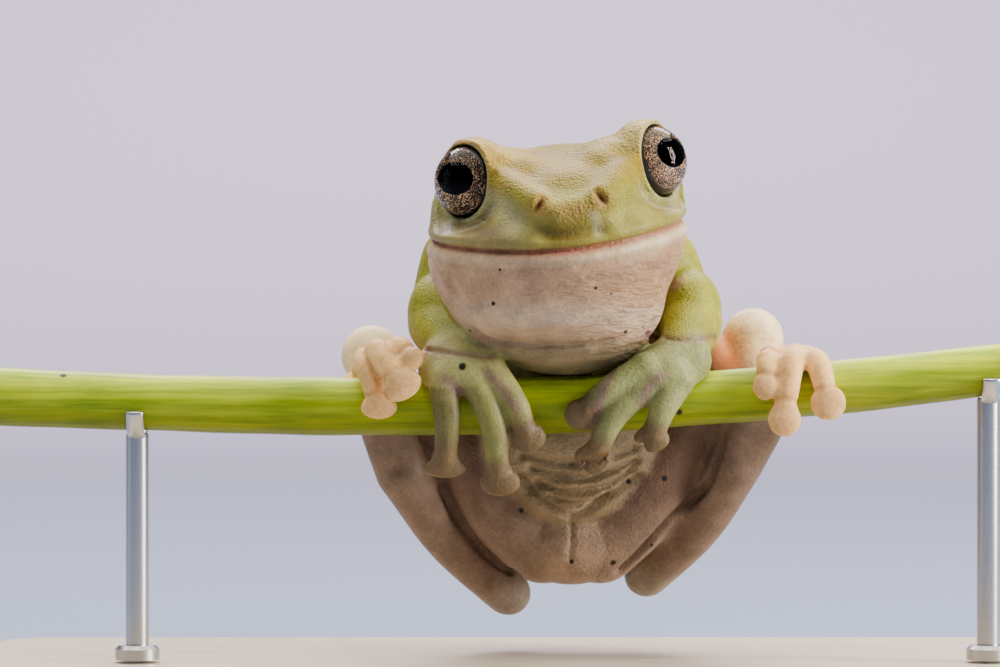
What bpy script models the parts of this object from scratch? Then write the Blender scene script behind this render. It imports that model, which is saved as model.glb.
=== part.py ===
"""A life-size White's tree frog that hangs over a cut length of green stem, on a plain display stand.

The frog faces -Y with its midline near x = 0, and the floor is z = 0. Each part of the body is a node of its
own: rounded masses and tapered lengths that a fine voxel grid melts into one form, smoothed, thinned to a
few hundred faces, and carved back by a small gap from the parts that it lies against.
"""

import math

import bmesh
import bpy
from mathutils import Matrix, Vector

MM = 0.001  # the tables below are in millimetres, the scene is in metres

# Driving dimensions, in millimetres.
GAP = 0.3  # between two parts that touch
STEM_RADIUS = 3.0
STEM_END_RADIUS = 2.6  # at the younger, right-hand end
STEM_HEIGHT = 31.4  # of its centre line, at its lowest point
STEM_LOWEST = -14.0  # the x of that point
STEM_RISE_LEFT, STEM_RISE_RIGHT = 0.00055, 0.00113  # times the square of the distance from that point
STEM_HALF_LENGTH = 60.0
STEM_TAPER_START = 0.45  # the share of the length, from the left, where it begins to thin
STEM_RINGS = 17
BASE_SIZE = (124.0, 70.0, 5.0)
BASE_CORNER = 6.0
ROD_RADIUS = 1.2
ROD_PLACE = 44.0  # left and right of the middle
EYE_RADIUS = 3.75
EYE_SPACING = 18.5  # between the centres of the two eyes
HEAD_PLACE = (-0.3, -5.2, 55.5)  # the middle between the eyes
HEAD_ROLL, HEAD_YAW, HEAD_PITCH = 6.2, 3.0, 5.0  # degrees: right side up, nose to +X, nose down
MOUTH_HEIGHT = -7.2  # of the middle of the mouth, below the eyes
MOUTH_CURVE = 71.0  # radius of the upward curve of the mouth
EYE_AZIMUTH = 51.0  # degrees that each eye looks out from the nose
LID_OPENING = 1.0  # from the centre of the eye out to the plane of its lids

GREEN, OLIVE, SKIN, PINK, PEACH = "A3A35A", "8F8A4A", "C2A78F", "A88878", "E0BF9A"

# Joint centres of the limbs, left (-X) and right, in millimetres. The rump hangs a little to the right.
JOINTS = {
    "left": {
        "shoulder": (-11.0, 9.6, 47.2), "elbow": (-13.0, 9.4, 40.4), "wrist": (-11.2, -0.6, 37.3),
        "hip": (-1.9, 12.0, 17.0), "groin": (-7.0, 11.2, 22.0), "thigh": (-12.4, 10.8, 28.6),
        "knee": (-20.1, 13.0, 37.0), "calf": (-15.9, 17.4, 28.6), "heel": (-5.6, 18.4, 11.0),
        "ankle": (-17.2, 7.4, 24.0), "instep": (-18.6, 5.0, 30.2), "ball": (-19.2, 2.8, 35.4),
    },
    "right": {
        "shoulder": (10.8, 9.6, 47.8), "elbow": (13.2, 9.4, 40.8), "wrist": (11.9, -0.6, 37.6),
        "hip": (4.1, 12.0, 17.0), "groin": (8.2, 11.2, 21.2), "thigh": (12.8, 10.8, 28.2),
        "knee": (20.7, 13.0, 38.5), "calf": (17.2, 17.4, 29.4), "heel": (8.5, 18.4, 12.8),
        "ankle": (19.4, 7.4, 25.0), "instep": (21.4, 5.0, 31.0), "ball": (23.4, 3.0, 36.6),
    },
}


def at(*millimetres):
    return Vector(millimetres) * MM


def remove_everything():
    for old in list(bpy.data.objects):
        bpy.data.objects.remove(old, do_unlink=True)


def new_collection(name):
    collection = bpy.data.collections.new(name)
    bpy.context.scene.collection.children.link(collection)
    return collection


def linear(hex_colour):
    """The linear RGBA of an sRGB hex colour."""
    channels = [int(hex_colour[i : i + 2], 16) / 255 for i in (0, 2, 4)]
    return [c / 12.92 if c <= 0.04045 else ((c + 0.055) / 1.055) ** 2.4 for c in channels] + [1.0]


def principled(name, hex_colour, roughness, metallic=0.0):
    material = bpy.data.materials.new(name)
    material.use_nodes = True
    shader = material.node_tree.nodes["Principled BSDF"]
    shader.inputs["Base Color"].default_value = linear(hex_colour)
    shader.inputs["Roughness"].default_value = roughness
    shader.inputs["Metallic"].default_value = metallic
    return material


# ---------------------------------------------------------------- forms


def unit_ball():
    """A ball of radius 1, made once and copied for every mass."""
    if "unit_ball" not in bpy.data.meshes:
        ball = bmesh.new()
        bmesh.ops.create_uvsphere(ball, u_segments=24, v_segments=16, radius=1.0)
        ball.to_mesh(bpy.data.meshes.new("unit_ball"))
        ball.free()
    return bpy.data.meshes["unit_ball"]


def mass(form, centre, radii, turn=(0, 0, 0), frame=Matrix()):
    """Adds an ellipsoid of these radii to the form, turned by degrees about X, Y and Z."""
    turned = Matrix.Rotation(math.radians(turn[2]), 4, "Z")
    turned = turned @ Matrix.Rotation(math.radians(turn[1]), 4, "Y")
    turned = turned @ Matrix.Rotation(math.radians(turn[0]), 4, "X")
    ball = unit_ball().copy()
    size = Matrix.Diagonal((*(Vector(radii) * MM), 1))
    ball.transform(frame @ Matrix.Translation(at(*centre)) @ turned @ size)
    form.from_mesh(ball)
    bpy.data.meshes.remove(ball)


def length(form, points, radii, frame=Matrix()):
    """Adds a tapered, round-ended length through the points, with a radius at each."""
    for centre, radius in zip(points, radii):
        mass(form, centre, (radius,) * 3, frame=frame)
    for start, end, first, last in zip(points, points[1:], radii, radii[1:]):
        along = at(*end) - at(*start)
        turned = along.to_track_quat("Z", "Y").to_matrix().to_4x4()
        place = frame @ Matrix.Translation(at(*start) + along / 2) @ turned
        bmesh.ops.create_cone(form, cap_ends=True, segments=20, radius1=first * MM, radius2=last * MM,
                              depth=along.length, matrix=place)


def through(start, end, share, *bulge):
    """The point at this share of the way from start to end, moved by the bulge."""
    return tuple(Vector(start).lerp(Vector(end), share) + Vector(bulge or (0, 0, 0)))


def rounded(points, radii, steps=4):
    """A smooth run of (points, radii) through the given ones."""
    knots = [Vector((*point, radius)) for point, radius in zip(points, radii)]
    padded = [2 * knots[0] - knots[1], *knots, 2 * knots[-1] - knots[-2]]
    run = []
    for a, b, c, d in zip(padded, padded[1:], padded[2:], padded[3:]):
        for step in range(steps):
            t = step / steps
            run.append(0.5 * (2 * b + (c - a) * t + (2 * a - 5 * b + 4 * c - d) * t * t
                              + (3 * b - a - 3 * c + d) * t ** 3))
    run.append(knots[-1])
    return [tuple(knot[:3]) for knot in run], [knot[3] for knot in run]


def evaluated_mesh(node):
    """The node's mesh with its modifiers applied."""
    bpy.context.view_layer.update()
    graph = bpy.context.evaluated_depsgraph_get()
    return bpy.data.meshes.new_from_object(node.evaluated_get(graph))


def apply_modifiers(node):
    mesh = evaluated_mesh(node)
    node.modifiers.clear()
    old, node.data = node.data, mesh
    bpy.data.meshes.remove(old)


def keep_largest_piece(node):
    """Deletes the crumbs that carving leaves beside the piece itself."""
    form = bmesh.new()
    form.from_mesh(node.data)
    bmesh.ops.remove_doubles(form, verts=form.verts, dist=2e-6)
    bmesh.ops.dissolve_degenerate(form, edges=form.edges, dist=2e-6)
    unseen, pieces = set(form.verts), []
    while unseen:
        reached = {unseen.pop()}
        frontier = list(reached)
        while frontier:
            vertex = frontier.pop()
            for edge in vertex.link_edges:
                other = edge.other_vert(vertex)
                if other not in reached:
                    reached.add(other)
                    frontier.append(other)
        unseen -= reached
        pieces.append(reached)
    pieces.sort(key=len)
    bmesh.ops.delete(form, geom=[vertex for piece in pieces[:-1] for vertex in piece], context="VERTS")
    bmesh.ops.triangulate(form, faces=form.faces)
    form.to_mesh(node.data)
    form.free()


class Workshop:
    """Makes the nodes, and carves each from the ones made before it."""

    def __init__(self, name):
        self.parts = new_collection(name)
        self.cutters = new_collection(name + "_cutters")
        self.nodes = {}

    def add(self, name, mesh, material):
        node = bpy.data.objects.new(name, mesh)
        self.parts.objects.link(node)
        node.data.materials.clear()
        node.data.materials.append(material)
        self.nodes[name] = node
        return node

    def add_form(self, name, form, material):
        mesh = bpy.data.meshes.new(name)
        form.to_mesh(mesh)
        form.free()
        return self.add(name, mesh, material)

    def flesh(self, name, form, material, grid, faces, smoothing=6):
        """Melts a form into one skin on a voxel grid, smooths it and thins it to about this many faces."""
        node = self.add_form(name, form, material)
        melt = node.modifiers.new("melt", "REMESH")
        melt.mode = "VOXEL"
        melt.voxel_size = grid * MM
        smooth = node.modifiers.new("smooth", "SMOOTH")
        smooth.factor = 0.5
        smooth.iterations = smoothing
        apply_modifiers(node)
        thin = node.modifiers.new("thin", "DECIMATE")
        thin.ratio = min(1.0, faces / (2 * len(node.data.polygons)))
        thin.use_collapse_triangulate = True
        apply_modifiers(node)
        return node

    def cutter(self, name, mesh):
        cutter = bpy.data.objects.new(name, mesh)
        self.cutters.objects.link(cutter)
        cutter.hide_render = True
        cutter.display_type = "WIRE"
        return cutter

    def grown(self, name):
        """A cutter in the shape of a node, larger all round by the gap.

        It is taken before the node's neighbours carve it, while its shape is smooth enough to swell.
        """
        if name + "_grown" not in self.cutters.objects:
            cutter = self.cutter(name + "_grown", self.nodes[name].data.copy())
            swell = cutter.modifiers.new("swell", "DISPLACE")
            swell.mid_level = 0.0
            swell.strength = GAP * MM
            apply_modifiers(cutter)
        return self.cutters.objects[name + "_grown"]

    def carve(self, name, *others, operation="DIFFERENCE"):
        """Cuts each of the others, or its grown copy where it is a node's name, from the node."""
        node = self.nodes[name]
        for other in others:
            if isinstance(other, str):
                self.grown(name)
            cut = node.modifiers.new("carve", "BOOLEAN")
            cut.operation = operation
            cut.object = self.grown(other) if isinstance(other, str) else other
            apply_modifiers(node)
            keep_largest_piece(node)
        return node


# ---------------------------------------------------------------- the stem and its stand


def stem_point(x):
    """The centre line of the stem, which sags a little to the left and rises to the right."""
    rise = STEM_RISE_RIGHT if x > STEM_LOWEST else STEM_RISE_LEFT
    return x, 0.0, STEM_HEIGHT + rise * (x - STEM_LOWEST) ** 2


def stem_radius(x):
    share = (x + STEM_HALF_LENGTH) / (2 * STEM_HALF_LENGTH)
    taper = max(0.0, share - STEM_TAPER_START) / (1 - STEM_TAPER_START)
    return STEM_RADIUS + (STEM_END_RADIUS - STEM_RADIUS) * taper


def make_stem(shop, material):
    curve = bpy.data.curves.new("stem", "CURVE")
    curve.dimensions = "3D"
    curve.bevel_depth = MM
    curve.bevel_resolution = 3
    curve.use_fill_caps = True
    step = 2 * STEM_HALF_LENGTH / (STEM_RINGS - 1)
    places = [-STEM_HALF_LENGTH + step * i for i in range(STEM_RINGS)]
    spline = curve.splines.new("POLY")
    spline.points.add(len(places) - 1)
    for point, x in zip(spline.points, places):
        point.co = (*at(*stem_point(x)), 1.0)
        point.radius = stem_radius(x)
    guide = bpy.data.objects.new("stem_guide", curve)
    shop.cutters.objects.link(guide)
    mesh = evaluated_mesh(guide)
    bpy.data.objects.remove(guide)
    form = bmesh.new()
    form.from_mesh(mesh)
    bmesh.ops.remove_doubles(form, verts=form.verts, dist=1e-6)
    bmesh.ops.recalc_face_normals(form, faces=form.faces)
    return shop.add_form("stem", form, material)


def make_stand(shop, base_material, rod_material):
    form = bmesh.new()
    width, depth, height = BASE_SIZE
    size = Matrix.Diagonal((width * MM, depth * MM, height * MM, 1))
    place = Matrix.Translation(at(0, 0, height / 2)) @ size
    bmesh.ops.create_cube(form, size=1.0, matrix=place)
    upright = [edge for edge in form.edges if abs((edge.verts[0].co - edge.verts[1].co).z) > height * MM / 2]
    bmesh.ops.bevel(form, geom=upright, offset=BASE_CORNER * MM, segments=5, profile=0.5, affect="EDGES")
    shop.add_form("stand_base", form, base_material)
    for side, x in (("left", -ROD_PLACE), ("right", ROD_PLACE)):
        bottom = height + GAP
        top = stem_point(x)[2]
        form = bmesh.new()
        place = Matrix.Translation(at(x, 0, (bottom + top) / 2))
        bmesh.ops.create_cone(form, cap_ends=True, segments=20, radius1=ROD_RADIUS * MM,
                              radius2=ROD_RADIUS * MM, depth=(top - bottom) * MM, matrix=place)
        shop.add_form("stand_rod_" + side, form, rod_material)
        shop.carve("stand_rod_" + side, "stem")


# ---------------------------------------------------------------- the head


def head_frame():
    """Places head measures: origin between the eyes, nose towards -Y."""
    frame = Matrix.Translation(at(*HEAD_PLACE)) @ Matrix.Rotation(math.radians(HEAD_YAW), 4, "Z")
    frame = frame @ Matrix.Rotation(math.radians(HEAD_PITCH), 4, "X")
    return frame @ Matrix.Rotation(-math.radians(HEAD_ROLL), 4, "Y")


def mouth_cutter(shop, radius, name):
    """The upper side of the mouth's curved surface: a wide drum that lies along the head."""
    form = bmesh.new()
    place = head_frame() @ Matrix.Translation(at(0, 0, MOUTH_HEIGHT + MOUTH_CURVE))
    place = place @ Matrix.Rotation(math.pi / 2, 4, "X")
    bmesh.ops.create_cone(form, cap_ends=True, segments=160, radius1=radius * MM, radius2=radius * MM,
                          depth=80 * MM, matrix=place)
    mesh = bpy.data.meshes.new(name)
    form.to_mesh(mesh)
    form.free()
    return shop.cutter(name, mesh)


def lip():
    """Points (x, y) round the edge of the jaw, from the left corner to the right one."""
    turns = [math.pi * step / 12 for step in range(13)]
    return [(-12.3 * math.cos(turn) - 0.7, 5.2 - 14.9 * math.sin(turn) ** 0.85) for turn in turns]


def eye_frame(sign):
    """Places measures of one eye: its centre at the origin, looking out along -Y."""
    outwards = Matrix.Rotation(math.radians(sign * EYE_AZIMUTH), 4, "Z")
    return head_frame() @ Matrix.Translation(at(sign * EYE_SPACING / 2, 0, 0)) @ outwards


def make_eyes(shop, material):
    for side, sign in (("left", -1), ("right", 1)):
        form = bmesh.new()
        pole = Matrix.Rotation(math.pi / 2, 4, "X")
        bmesh.ops.create_uvsphere(form, u_segments=16, v_segments=8, radius=EYE_RADIUS * MM,
                                  matrix=eye_frame(sign) @ pole)
        shop.add_form("eye_" + side, form, material)


def lid_cutter(shop, side, sign):
    """What opens the lids: a funnel in front of the eye, a little wider than the eye at its neck."""
    form = bmesh.new()
    depth, neck = 4.0, EYE_RADIUS + 0.2
    place = Matrix.Translation(at(0, -LID_OPENING - depth / 2, 0)) @ Matrix.Rotation(math.pi / 2, 4, "X")
    bmesh.ops.create_cone(form, cap_ends=True, segments=24, radius1=neck * MM, radius2=(neck + depth) * MM,
                          depth=depth * MM, matrix=eye_frame(sign) @ place)
    mesh = bpy.data.meshes.new("lids_" + side)
    form.to_mesh(mesh)
    form.free()
    return shop.cutter("lids_" + side, mesh)


def make_head(shop, material):
    frame = head_frame()
    form = bmesh.new()
    mass(form, (-0.2, 4.5, -3.6), (12.0, 12.0, 6.3), frame=frame)  # skull
    mass(form, (-0.3, 10.5, -4.6), (11.4, 8.0, 7.0), frame=frame)  # nape
    mass(form, (0, -3.4, -3.5), (7.6, 7.0, 4.6), (12, 0, 0), frame)  # snout
    mass(form, (0, -7.3, -4.3), (5.0, 3.8, 3.3), frame=frame)  # muzzle
    for sign in (-1, 1):
        mass(form, (sign * 7.4 - 0.7, 3.6, -5.0), (5.4, 8.0, 4.0), frame=frame)  # cheek
        mass(form, (sign * 6.2 - 0.3, -2.6, -4.4), (5.0, 5.8, 3.4), (0, sign * 14, 0), frame)  # face
        mass(form, (0, 0, 0), (EYE_RADIUS + 0.95,) * 3, frame=eye_frame(sign))  # lids
        ridge = [(sign * 6.4, -3.4, -0.5), (sign * 4.9, -6.8, -1.4), (sign * 3.2, -9.3, -2.6)]
        length(form, ridge, (1.9, 1.5, 1.3), frame)
    edge = [(x, y, MOUTH_HEIGHT + 1.1 + x * x / 142) for x, y in lip()]
    length(form, edge, [1.4] * len(edge), frame)  # upper lip
    mass(form, (-0.4, -1.3, -6.4), (10.8, 8.2, 2.8), frame=frame)  # roof of the mouth
    shop.flesh("head", form, material, grid=0.5, faces=980, smoothing=8)
    shop.carve("head", mouth_cutter(shop, MOUTH_CURVE - GAP / 2, "above_mouth"), operation="INTERSECT")
    shop.grown("head")
    for side, sign in (("left", -1), ("right", 1)):
        shop.carve("head", lid_cutter(shop, side, sign), "eye_" + side)


def make_lower_jaw(shop, material):
    frame = head_frame()
    form = bmesh.new()
    for drop, inset in ((0.9, 0.985), (2.6, 0.96), (4.4, 0.915), (6.2, 0.85)):
        edge = [(x * inset, 5.2 + (y - 5.2) * inset, MOUTH_HEIGHT - drop + x * x / 142) for x, y in lip()]
        length(form, edge, [1.6] * len(edge), frame)  # from the lower lip down to the pouch
    mass(form, (-0.6, 0.5, -10.2), (11.6, 9.9, 5.6), frame=frame)  # floor of the mouth
    mass(form, (-0.3, -1.6, 42.6), (11.0, 8.5, 7.4))  # throat pouch
    mass(form, (0.3, -0.6, 39.5), (8.8, 5.6, 4.8))  # its fold, which rests on the stem
    shop.flesh("lower_jaw", form, material, grid=0.6, faces=480, smoothing=14)
    shop.carve("lower_jaw", mouth_cutter(shop, MOUTH_CURVE + GAP / 2, "below_mouth"))
    shop.carve("lower_jaw", "stem")


# ---------------------------------------------------------------- the body


# Along the spine: centre, half width, half depth, and half length of the mass there.
SPINE = [
    ((-0.2, 8.6, 50.2), 11.2, 7.4, 5.0),
    ((0.0, 11.4, 46.2), 12.6, 9.4, 6.5),
    ((0.1, 14.4, 39.0), 13.8, 11.3, 8.0),
    ((0.4, 15.6, 31.2), 13.4, 12.0, 8.0),
    ((0.8, 17.2, 24.0), 10.2, 10.4, 7.0),
    ((1.1, 18.6, 18.6), 7.4, 7.4, 6.0),
]
SPINE_LEAN = -14  # degrees that the masses lean forward


def make_trunk(shop, material):
    form = bmesh.new()
    centres, widths = rounded([row[0] for row in SPINE], [row[1] for row in SPINE])
    depths = rounded([row[0] for row in SPINE], [row[2] for row in SPINE])[1]
    lengths = rounded([row[0] for row in SPINE], [row[3] for row in SPINE])[1]
    for centre, *radii in zip(centres, widths, depths, lengths):
        mass(form, centre, radii, (SPINE_LEAN, 0, 0))
    mass(form, (0.6, 8.4, 27.0), (10.0, 5.0, 7.0))  # belly
    mass(form, (1.0, 8.6, 23.4), (6.8, 4.9, 4.6))  # lower belly, above the groin
    shop.flesh("trunk", form, material, grid=0.7, faces=700, smoothing=14)
    shop.carve("trunk", "stem", "head", "lower_jaw")


def make_arm(shop, side, materials):
    joint = JOINTS[side]
    sign = -1 if side == "left" else 1
    shoulder, elbow, wrist = joint["shoulder"], joint["elbow"], joint["wrist"]
    form = bmesh.new()
    length(form, *rounded([shoulder, through(shoulder, elbow, 0.5), elbow], (4.2, 3.7, 3.3)))
    shop.flesh("upper_arm_" + side, form, materials["arm"], grid=0.5, faces=200)
    shop.carve("upper_arm_" + side, "trunk", "head", "lower_jaw")

    form = bmesh.new()
    middle = through(elbow, wrist, 0.5, sign * 0.6, 0, 0.9)
    length(form, *rounded([elbow, middle, wrist], (3.2, 3.3, 2.6)))
    shop.flesh("forearm_" + side, form, materials["arm"], grid=0.5, faces=220)
    shop.carve("forearm_" + side, "upper_arm_" + side, "trunk", "lower_jaw", "stem")


def make_digit(form, points, radii, disc_radii, disc_turn=(0, 0, 0)):
    """A finger or toe: a jointed length that ends in a flat round disc."""
    length(form, *rounded(points, radii, steps=3))
    mass(form, points[-1], disc_radii, disc_turn)


# For each finger, outermost first: its points from knuckle to tip, and the radius of its disc.
FINGERS = {
    "left": [
        ([(-13.2, -3.5, 34.9), (-12.7, -4.8, 31.0), (-12.4, -3.7, 25.6)], 2.6),
        ([(-10.0, -4.0, 35.2), (-7.6, -4.9, 30.8), (-6.8, -3.8, 24.4)], 2.4),
        ([(-7.6, -4.0, 35.4), (-5.0, -4.9, 32.2), (-3.8, -4.6, 28.6)], 2.1),
    ],
    "right": [
        ([(11.6, -3.7, 34.2), (10.2, -4.9, 31.4), (9.0, -4.4, 28.4)], 2.1),
        ([(9.2, -4.2, 34.4), (5.2, -4.9, 30.6), (3.0, -4.0, 26.4)], 2.4),
        ([(8.4, -4.2, 35.4), (4.6, -4.9, 33.2), (1.7, -4.6, 30.6)], 1.9),
    ],
}
PALMS = {"left": (-10.6, -2.9, 35.2), "right": (10.4, -2.9, 35.4)}


def make_hand(shop, side, material):
    wrist = Vector(JOINTS[side]["wrist"])
    sign = -1 if side == "left" else 1
    palm = PALMS[side]
    form = bmesh.new()
    length(form, [tuple(wrist + Vector((0, -0.8, -0.2))), palm], (2.7, 2.6))
    for finger, disc in FINGERS[side]:
        length(form, [palm, finger[0]], (2.4, 1.8))
        make_digit(form, finger, (1.8, 1.5, 1.2), (disc, 0.95, disc * 0.9))
    knuckles = [FINGERS[side][0][0][0], FINGERS[side][1][0][0], FINGERS[side][2][0][0]]
    length(form, knuckles, (1.7, 1.7, 1.6))
    hidden = [palm, (sign * 6.6, 1.2, 36.4), (sign * 4.4, 4.2, 34.6)]
    make_digit(form, hidden, (2.2, 1.3, 1.1), (1.5, 0.9, 1.5), (40, 0, 0))
    shop.flesh("hand_" + side, form, material, grid=0.4, faces=400, smoothing=4)
    shop.carve("hand_" + side, "stem", "forearm_" + side, "lower_jaw", "trunk")


def make_leg(shop, side, materials):
    joint = JOINTS[side]
    sign = -1 if side == "left" else 1
    form = bmesh.new()
    above = through(joint["thigh"], joint["knee"], 0.72, sign * 0.6, 0.0, -0.7)
    thigh = [joint["hip"], joint["groin"], joint["thigh"], above, joint["knee"]]
    length(form, *rounded(thigh, (4.6, 4.7, 4.0, 2.8, 3.05)))
    shop.flesh("thigh_" + side, form, materials["leg"], grid=0.55, faces=200)
    shop.carve("thigh_" + side, "trunk", "stem")
    if side == "right":
        shop.carve("thigh_right", "thigh_left")

    form = bmesh.new()
    shank = [joint["knee"], joint["calf"], through(joint["calf"], joint["heel"], 0.55), joint["heel"]]
    length(form, *rounded(shank, (3.0, 3.1, 2.6, 2.3)))
    shop.flesh("shank_" + side, form, materials["leg"], grid=0.5, faces=220)
    shop.carve("shank_" + side, "trunk", "thigh_" + side)

    form = bmesh.new()
    middle = through(joint["heel"], joint["ankle"], 0.5, 0, -0.3, -0.4)
    length(form, *rounded([joint["heel"], middle, joint["ankle"]], (2.4, 2.5, 2.5)))
    shop.flesh("tarsus_" + side, form, materials["leg"], grid=0.5, faces=200)
    shop.carve("tarsus_" + side, "shank_" + side, "thigh_" + side, "trunk")


# For each toe, innermost first: its points from knuckle to tip, and the radii and turn of its pad.
TOES = {
    "left": [
        ([(-18.0, 0.6, 36.2), (-16.4, -1.2, 37.0), (-14.4, -2.4, 37.2)], (1.5, 0.95, 1.3), (0, 20, 30)),
        ([(-18.9, 0.0, 36.8), (-18.0, -3.0, 36.4), (-16.4, -4.7, 33.3)], (1.95, 1.0, 1.35), (0, -25, 0)),
        ([(-20.6, 0.0, 36.2), (-20.2, -3.2, 35.0), (-18.9, -4.4, 31.9)], (1.85, 1.0, 1.6), (0, 0, 0)),
        ([(-19.6, 5.4, 34.8), (-18.0, 5.6, 31.4), (-16.2, 3.6, 28.2)], (1.6, 1.0, 1.5), (0, 0, 0)),
        ([(-20.6, 5.2, 34.4), (-22.6, 5.2, 32.2), (-24.0, 4.4, 29.6)], (1.7, 1.0, 1.5), (0, 0, 0)),
    ],
    "right": [
        ([(21.6, 2.6, 36.8), (19.6, 0.8, 37.0), (18.3, -0.4, 36.8)], (1.2, 0.95, 1.2), (0, 0, -20)),
        ([(22.8, 1.2, 37.2), (21.2, -2.6, 36.4), (20.8, -4.3, 33.9)], (1.35, 1.0, 1.5), (0, 0, 0)),
        ([(24.2, 0.6, 37.5), (23.6, -3.0, 36.4), (22.7, -4.5, 30.6)], (1.75, 1.0, 1.9), (0, 0, 0)),
        ([(25.6, 0.6, 37.6), (27.0, -2.6, 36.6), (27.0, -4.1, 32.4)], (1.85, 1.0, 1.75), (0, 0, 0)),
        ([(24.0, 5.0, 36.4), (26.4, 5.2, 34.4), (27.6, 4.0, 31.6)], (1.6, 1.0, 1.5), (0, 0, 0)),
    ],
}


def make_foot(shop, side, material):
    joint = JOINTS[side]
    form = bmesh.new()
    sole = [joint["ankle"], joint["instep"], joint["ball"]]
    for shift in (-1, 0, 1):
        run = [(x + shift * spread, y, z) for (x, y, z), spread in zip(sole, (0.6, 1.2, 1.5))]
        length(form, *rounded(run, (2.0, 1.5, 1.3)))
    for points, disc, turn in TOES[side]:
        length(form, [joint["ball"], points[0]], (1.3, 1.1))
        make_digit(form, points, (1.15, 1.25, 1.0), disc, turn)
    shop.flesh("foot_" + side, form, material, grid=0.4, faces=440, smoothing=4)
    shop.carve("foot_" + side, "stem", "tarsus_" + side, "shank_" + side, "thigh_" + side)
    shop.carve("foot_" + side, "hand_" + side, "forearm_" + side)


def main():
    remove_everything()
    shop = Workshop("tree_frog")
    green = principled("green_skin", GREEN, 0.45)
    materials = {
        "arm": principled("olive_skin", OLIVE, 0.45),
        "leg": principled("pink_skin", PINK, 0.5),
        "foot": principled("peach_skin", PEACH, 0.45),
    }
    make_stem(shop, principled("stem_rind", "8FA83A", 0.5))
    make_stand(shop, principled("stand_paint", "3A3A3C", 0.6), principled("stand_steel", "B8B8B8", 0.3, 1.0))
    make_eyes(shop, principled("eye", "5A4636", 0.1))
    make_head(shop, green)
    make_lower_jaw(shop, principled("throat_skin", SKIN, 0.5))
    make_trunk(shop, green)
    for side in ("left", "right"):
        make_arm(shop, side, materials)
        make_hand(shop, side, materials["arm"])
        make_leg(shop, side, materials)
        make_foot(shop, side, materials["foot"])


main()
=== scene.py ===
"""The looks of a life-size museum model: a White's tree frog over a green stem, on a display stand."""
import math

import bmesh
import bpy
import numpy as np
from mathutils import Matrix, Vector
from mathutils.bvhtree import BVHTree


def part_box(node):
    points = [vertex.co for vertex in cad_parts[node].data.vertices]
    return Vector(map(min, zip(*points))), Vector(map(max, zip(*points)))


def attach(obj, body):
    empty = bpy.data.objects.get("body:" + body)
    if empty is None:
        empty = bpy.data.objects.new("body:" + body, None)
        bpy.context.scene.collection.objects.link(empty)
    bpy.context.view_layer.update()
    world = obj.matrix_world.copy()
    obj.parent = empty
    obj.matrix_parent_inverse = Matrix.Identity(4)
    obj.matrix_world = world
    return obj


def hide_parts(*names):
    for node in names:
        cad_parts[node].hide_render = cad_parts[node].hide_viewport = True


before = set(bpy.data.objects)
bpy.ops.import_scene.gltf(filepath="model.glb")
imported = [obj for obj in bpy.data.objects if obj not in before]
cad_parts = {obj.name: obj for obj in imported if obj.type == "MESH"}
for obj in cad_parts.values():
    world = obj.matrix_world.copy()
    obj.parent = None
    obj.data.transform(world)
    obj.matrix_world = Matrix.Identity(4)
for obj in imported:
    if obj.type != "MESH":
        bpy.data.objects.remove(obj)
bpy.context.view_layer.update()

# ---------------------------------------------------------------- body form
# The body is built up as a sculptor builds it in wax: rounded masses over the skull, the spine and the
# thighs, and tapered lengths for the limbs, laid where the solids of the frame lie. Measures are in
# millimetres.

MM = 0.001
body = bmesh.new()
form = bmesh.new()
bmesh.ops.create_uvsphere(form, u_segments=28, v_segments=18, radius=1.0)
BALL = bpy.data.meshes.new("unit_ball")
form.to_mesh(BALL)
form.free()
SCRATCH = bpy.data.meshes.new("scratch")


def at(*millimetres):
    return Vector(millimetres) * MM


def turned(place, *turns):
    """The place, turned by each (degrees, axis) after the last."""
    for degrees, axis in turns:
        place = place @ Matrix.Rotation(math.radians(degrees), 4, axis)
    return place


def mass(centre, radii, turn=(0, 0, 0), place=Matrix()):
    """Adds an ellipsoid to the body, turned by degrees about X, Y and Z."""
    lean = turned(Matrix(), (turn[2], "Z"), (turn[1], "Y"), (turn[0], "X"))
    size = Matrix.Diagonal((*(Vector(radii) * MM), 1))
    piece = BALL.copy()
    piece.transform(place @ Matrix.Translation(at(*centre)) @ lean @ size)
    body.from_mesh(piece)
    bpy.data.meshes.remove(piece)


def rounded(knots, steps=5):
    """A smooth run through the knots. Each is a place, and may hold radii after it."""
    knots = [Vector(knot) for knot in knots]
    padded = [2 * knots[0] - knots[1], *knots, 2 * knots[-1] - knots[-2]]
    run = []
    for a, b, c, d in zip(padded, padded[1:], padded[2:], padded[3:]):
        for step in range(steps):
            t = step / steps
            run.append(0.5 * (2 * b + (c - a) * t + (2 * a - 5 * b + 4 * c - d) * t * t
                              + (3 * b - a - 3 * c + d) * t ** 3))
    return [*run, knots[-1]]


def length(points, radii, place=Matrix(), steps=5):
    """Adds a tapered, round-ended length along a smooth run through the points."""
    knots = [(*point, radius) for point, radius in zip(points, radii)]
    if len(knots) > 2:
        knots = rounded(knots, steps)
    for *centre, radius in knots:
        mass(centre, (radius,) * 3, place=place)
    for (*start, first), (*end, last) in zip(knots, knots[1:]):
        along = at(*end) - at(*start)
        lean = along.to_track_quat("Z", "Y").to_matrix().to_4x4()
        midway = place @ Matrix.Translation(at(*start) + along / 2) @ lean
        piece = bmesh.new()
        bmesh.ops.create_cone(piece, cap_ends=True, segments=24, radius1=first * MM, radius2=last * MM,
                              depth=along.length, matrix=midway)
        piece.to_mesh(SCRATCH)
        piece.free()
        body.from_mesh(SCRATCH)


def through(start, end, share, *bulge):
    """The point at this share of the way from start to end, moved by the bulge."""
    return tuple(Vector(start).lerp(Vector(end), share) + Vector(bulge or (0, 0, 0)))


def middle_of(node):
    low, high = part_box(node)
    return (low + high) / 2


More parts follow.
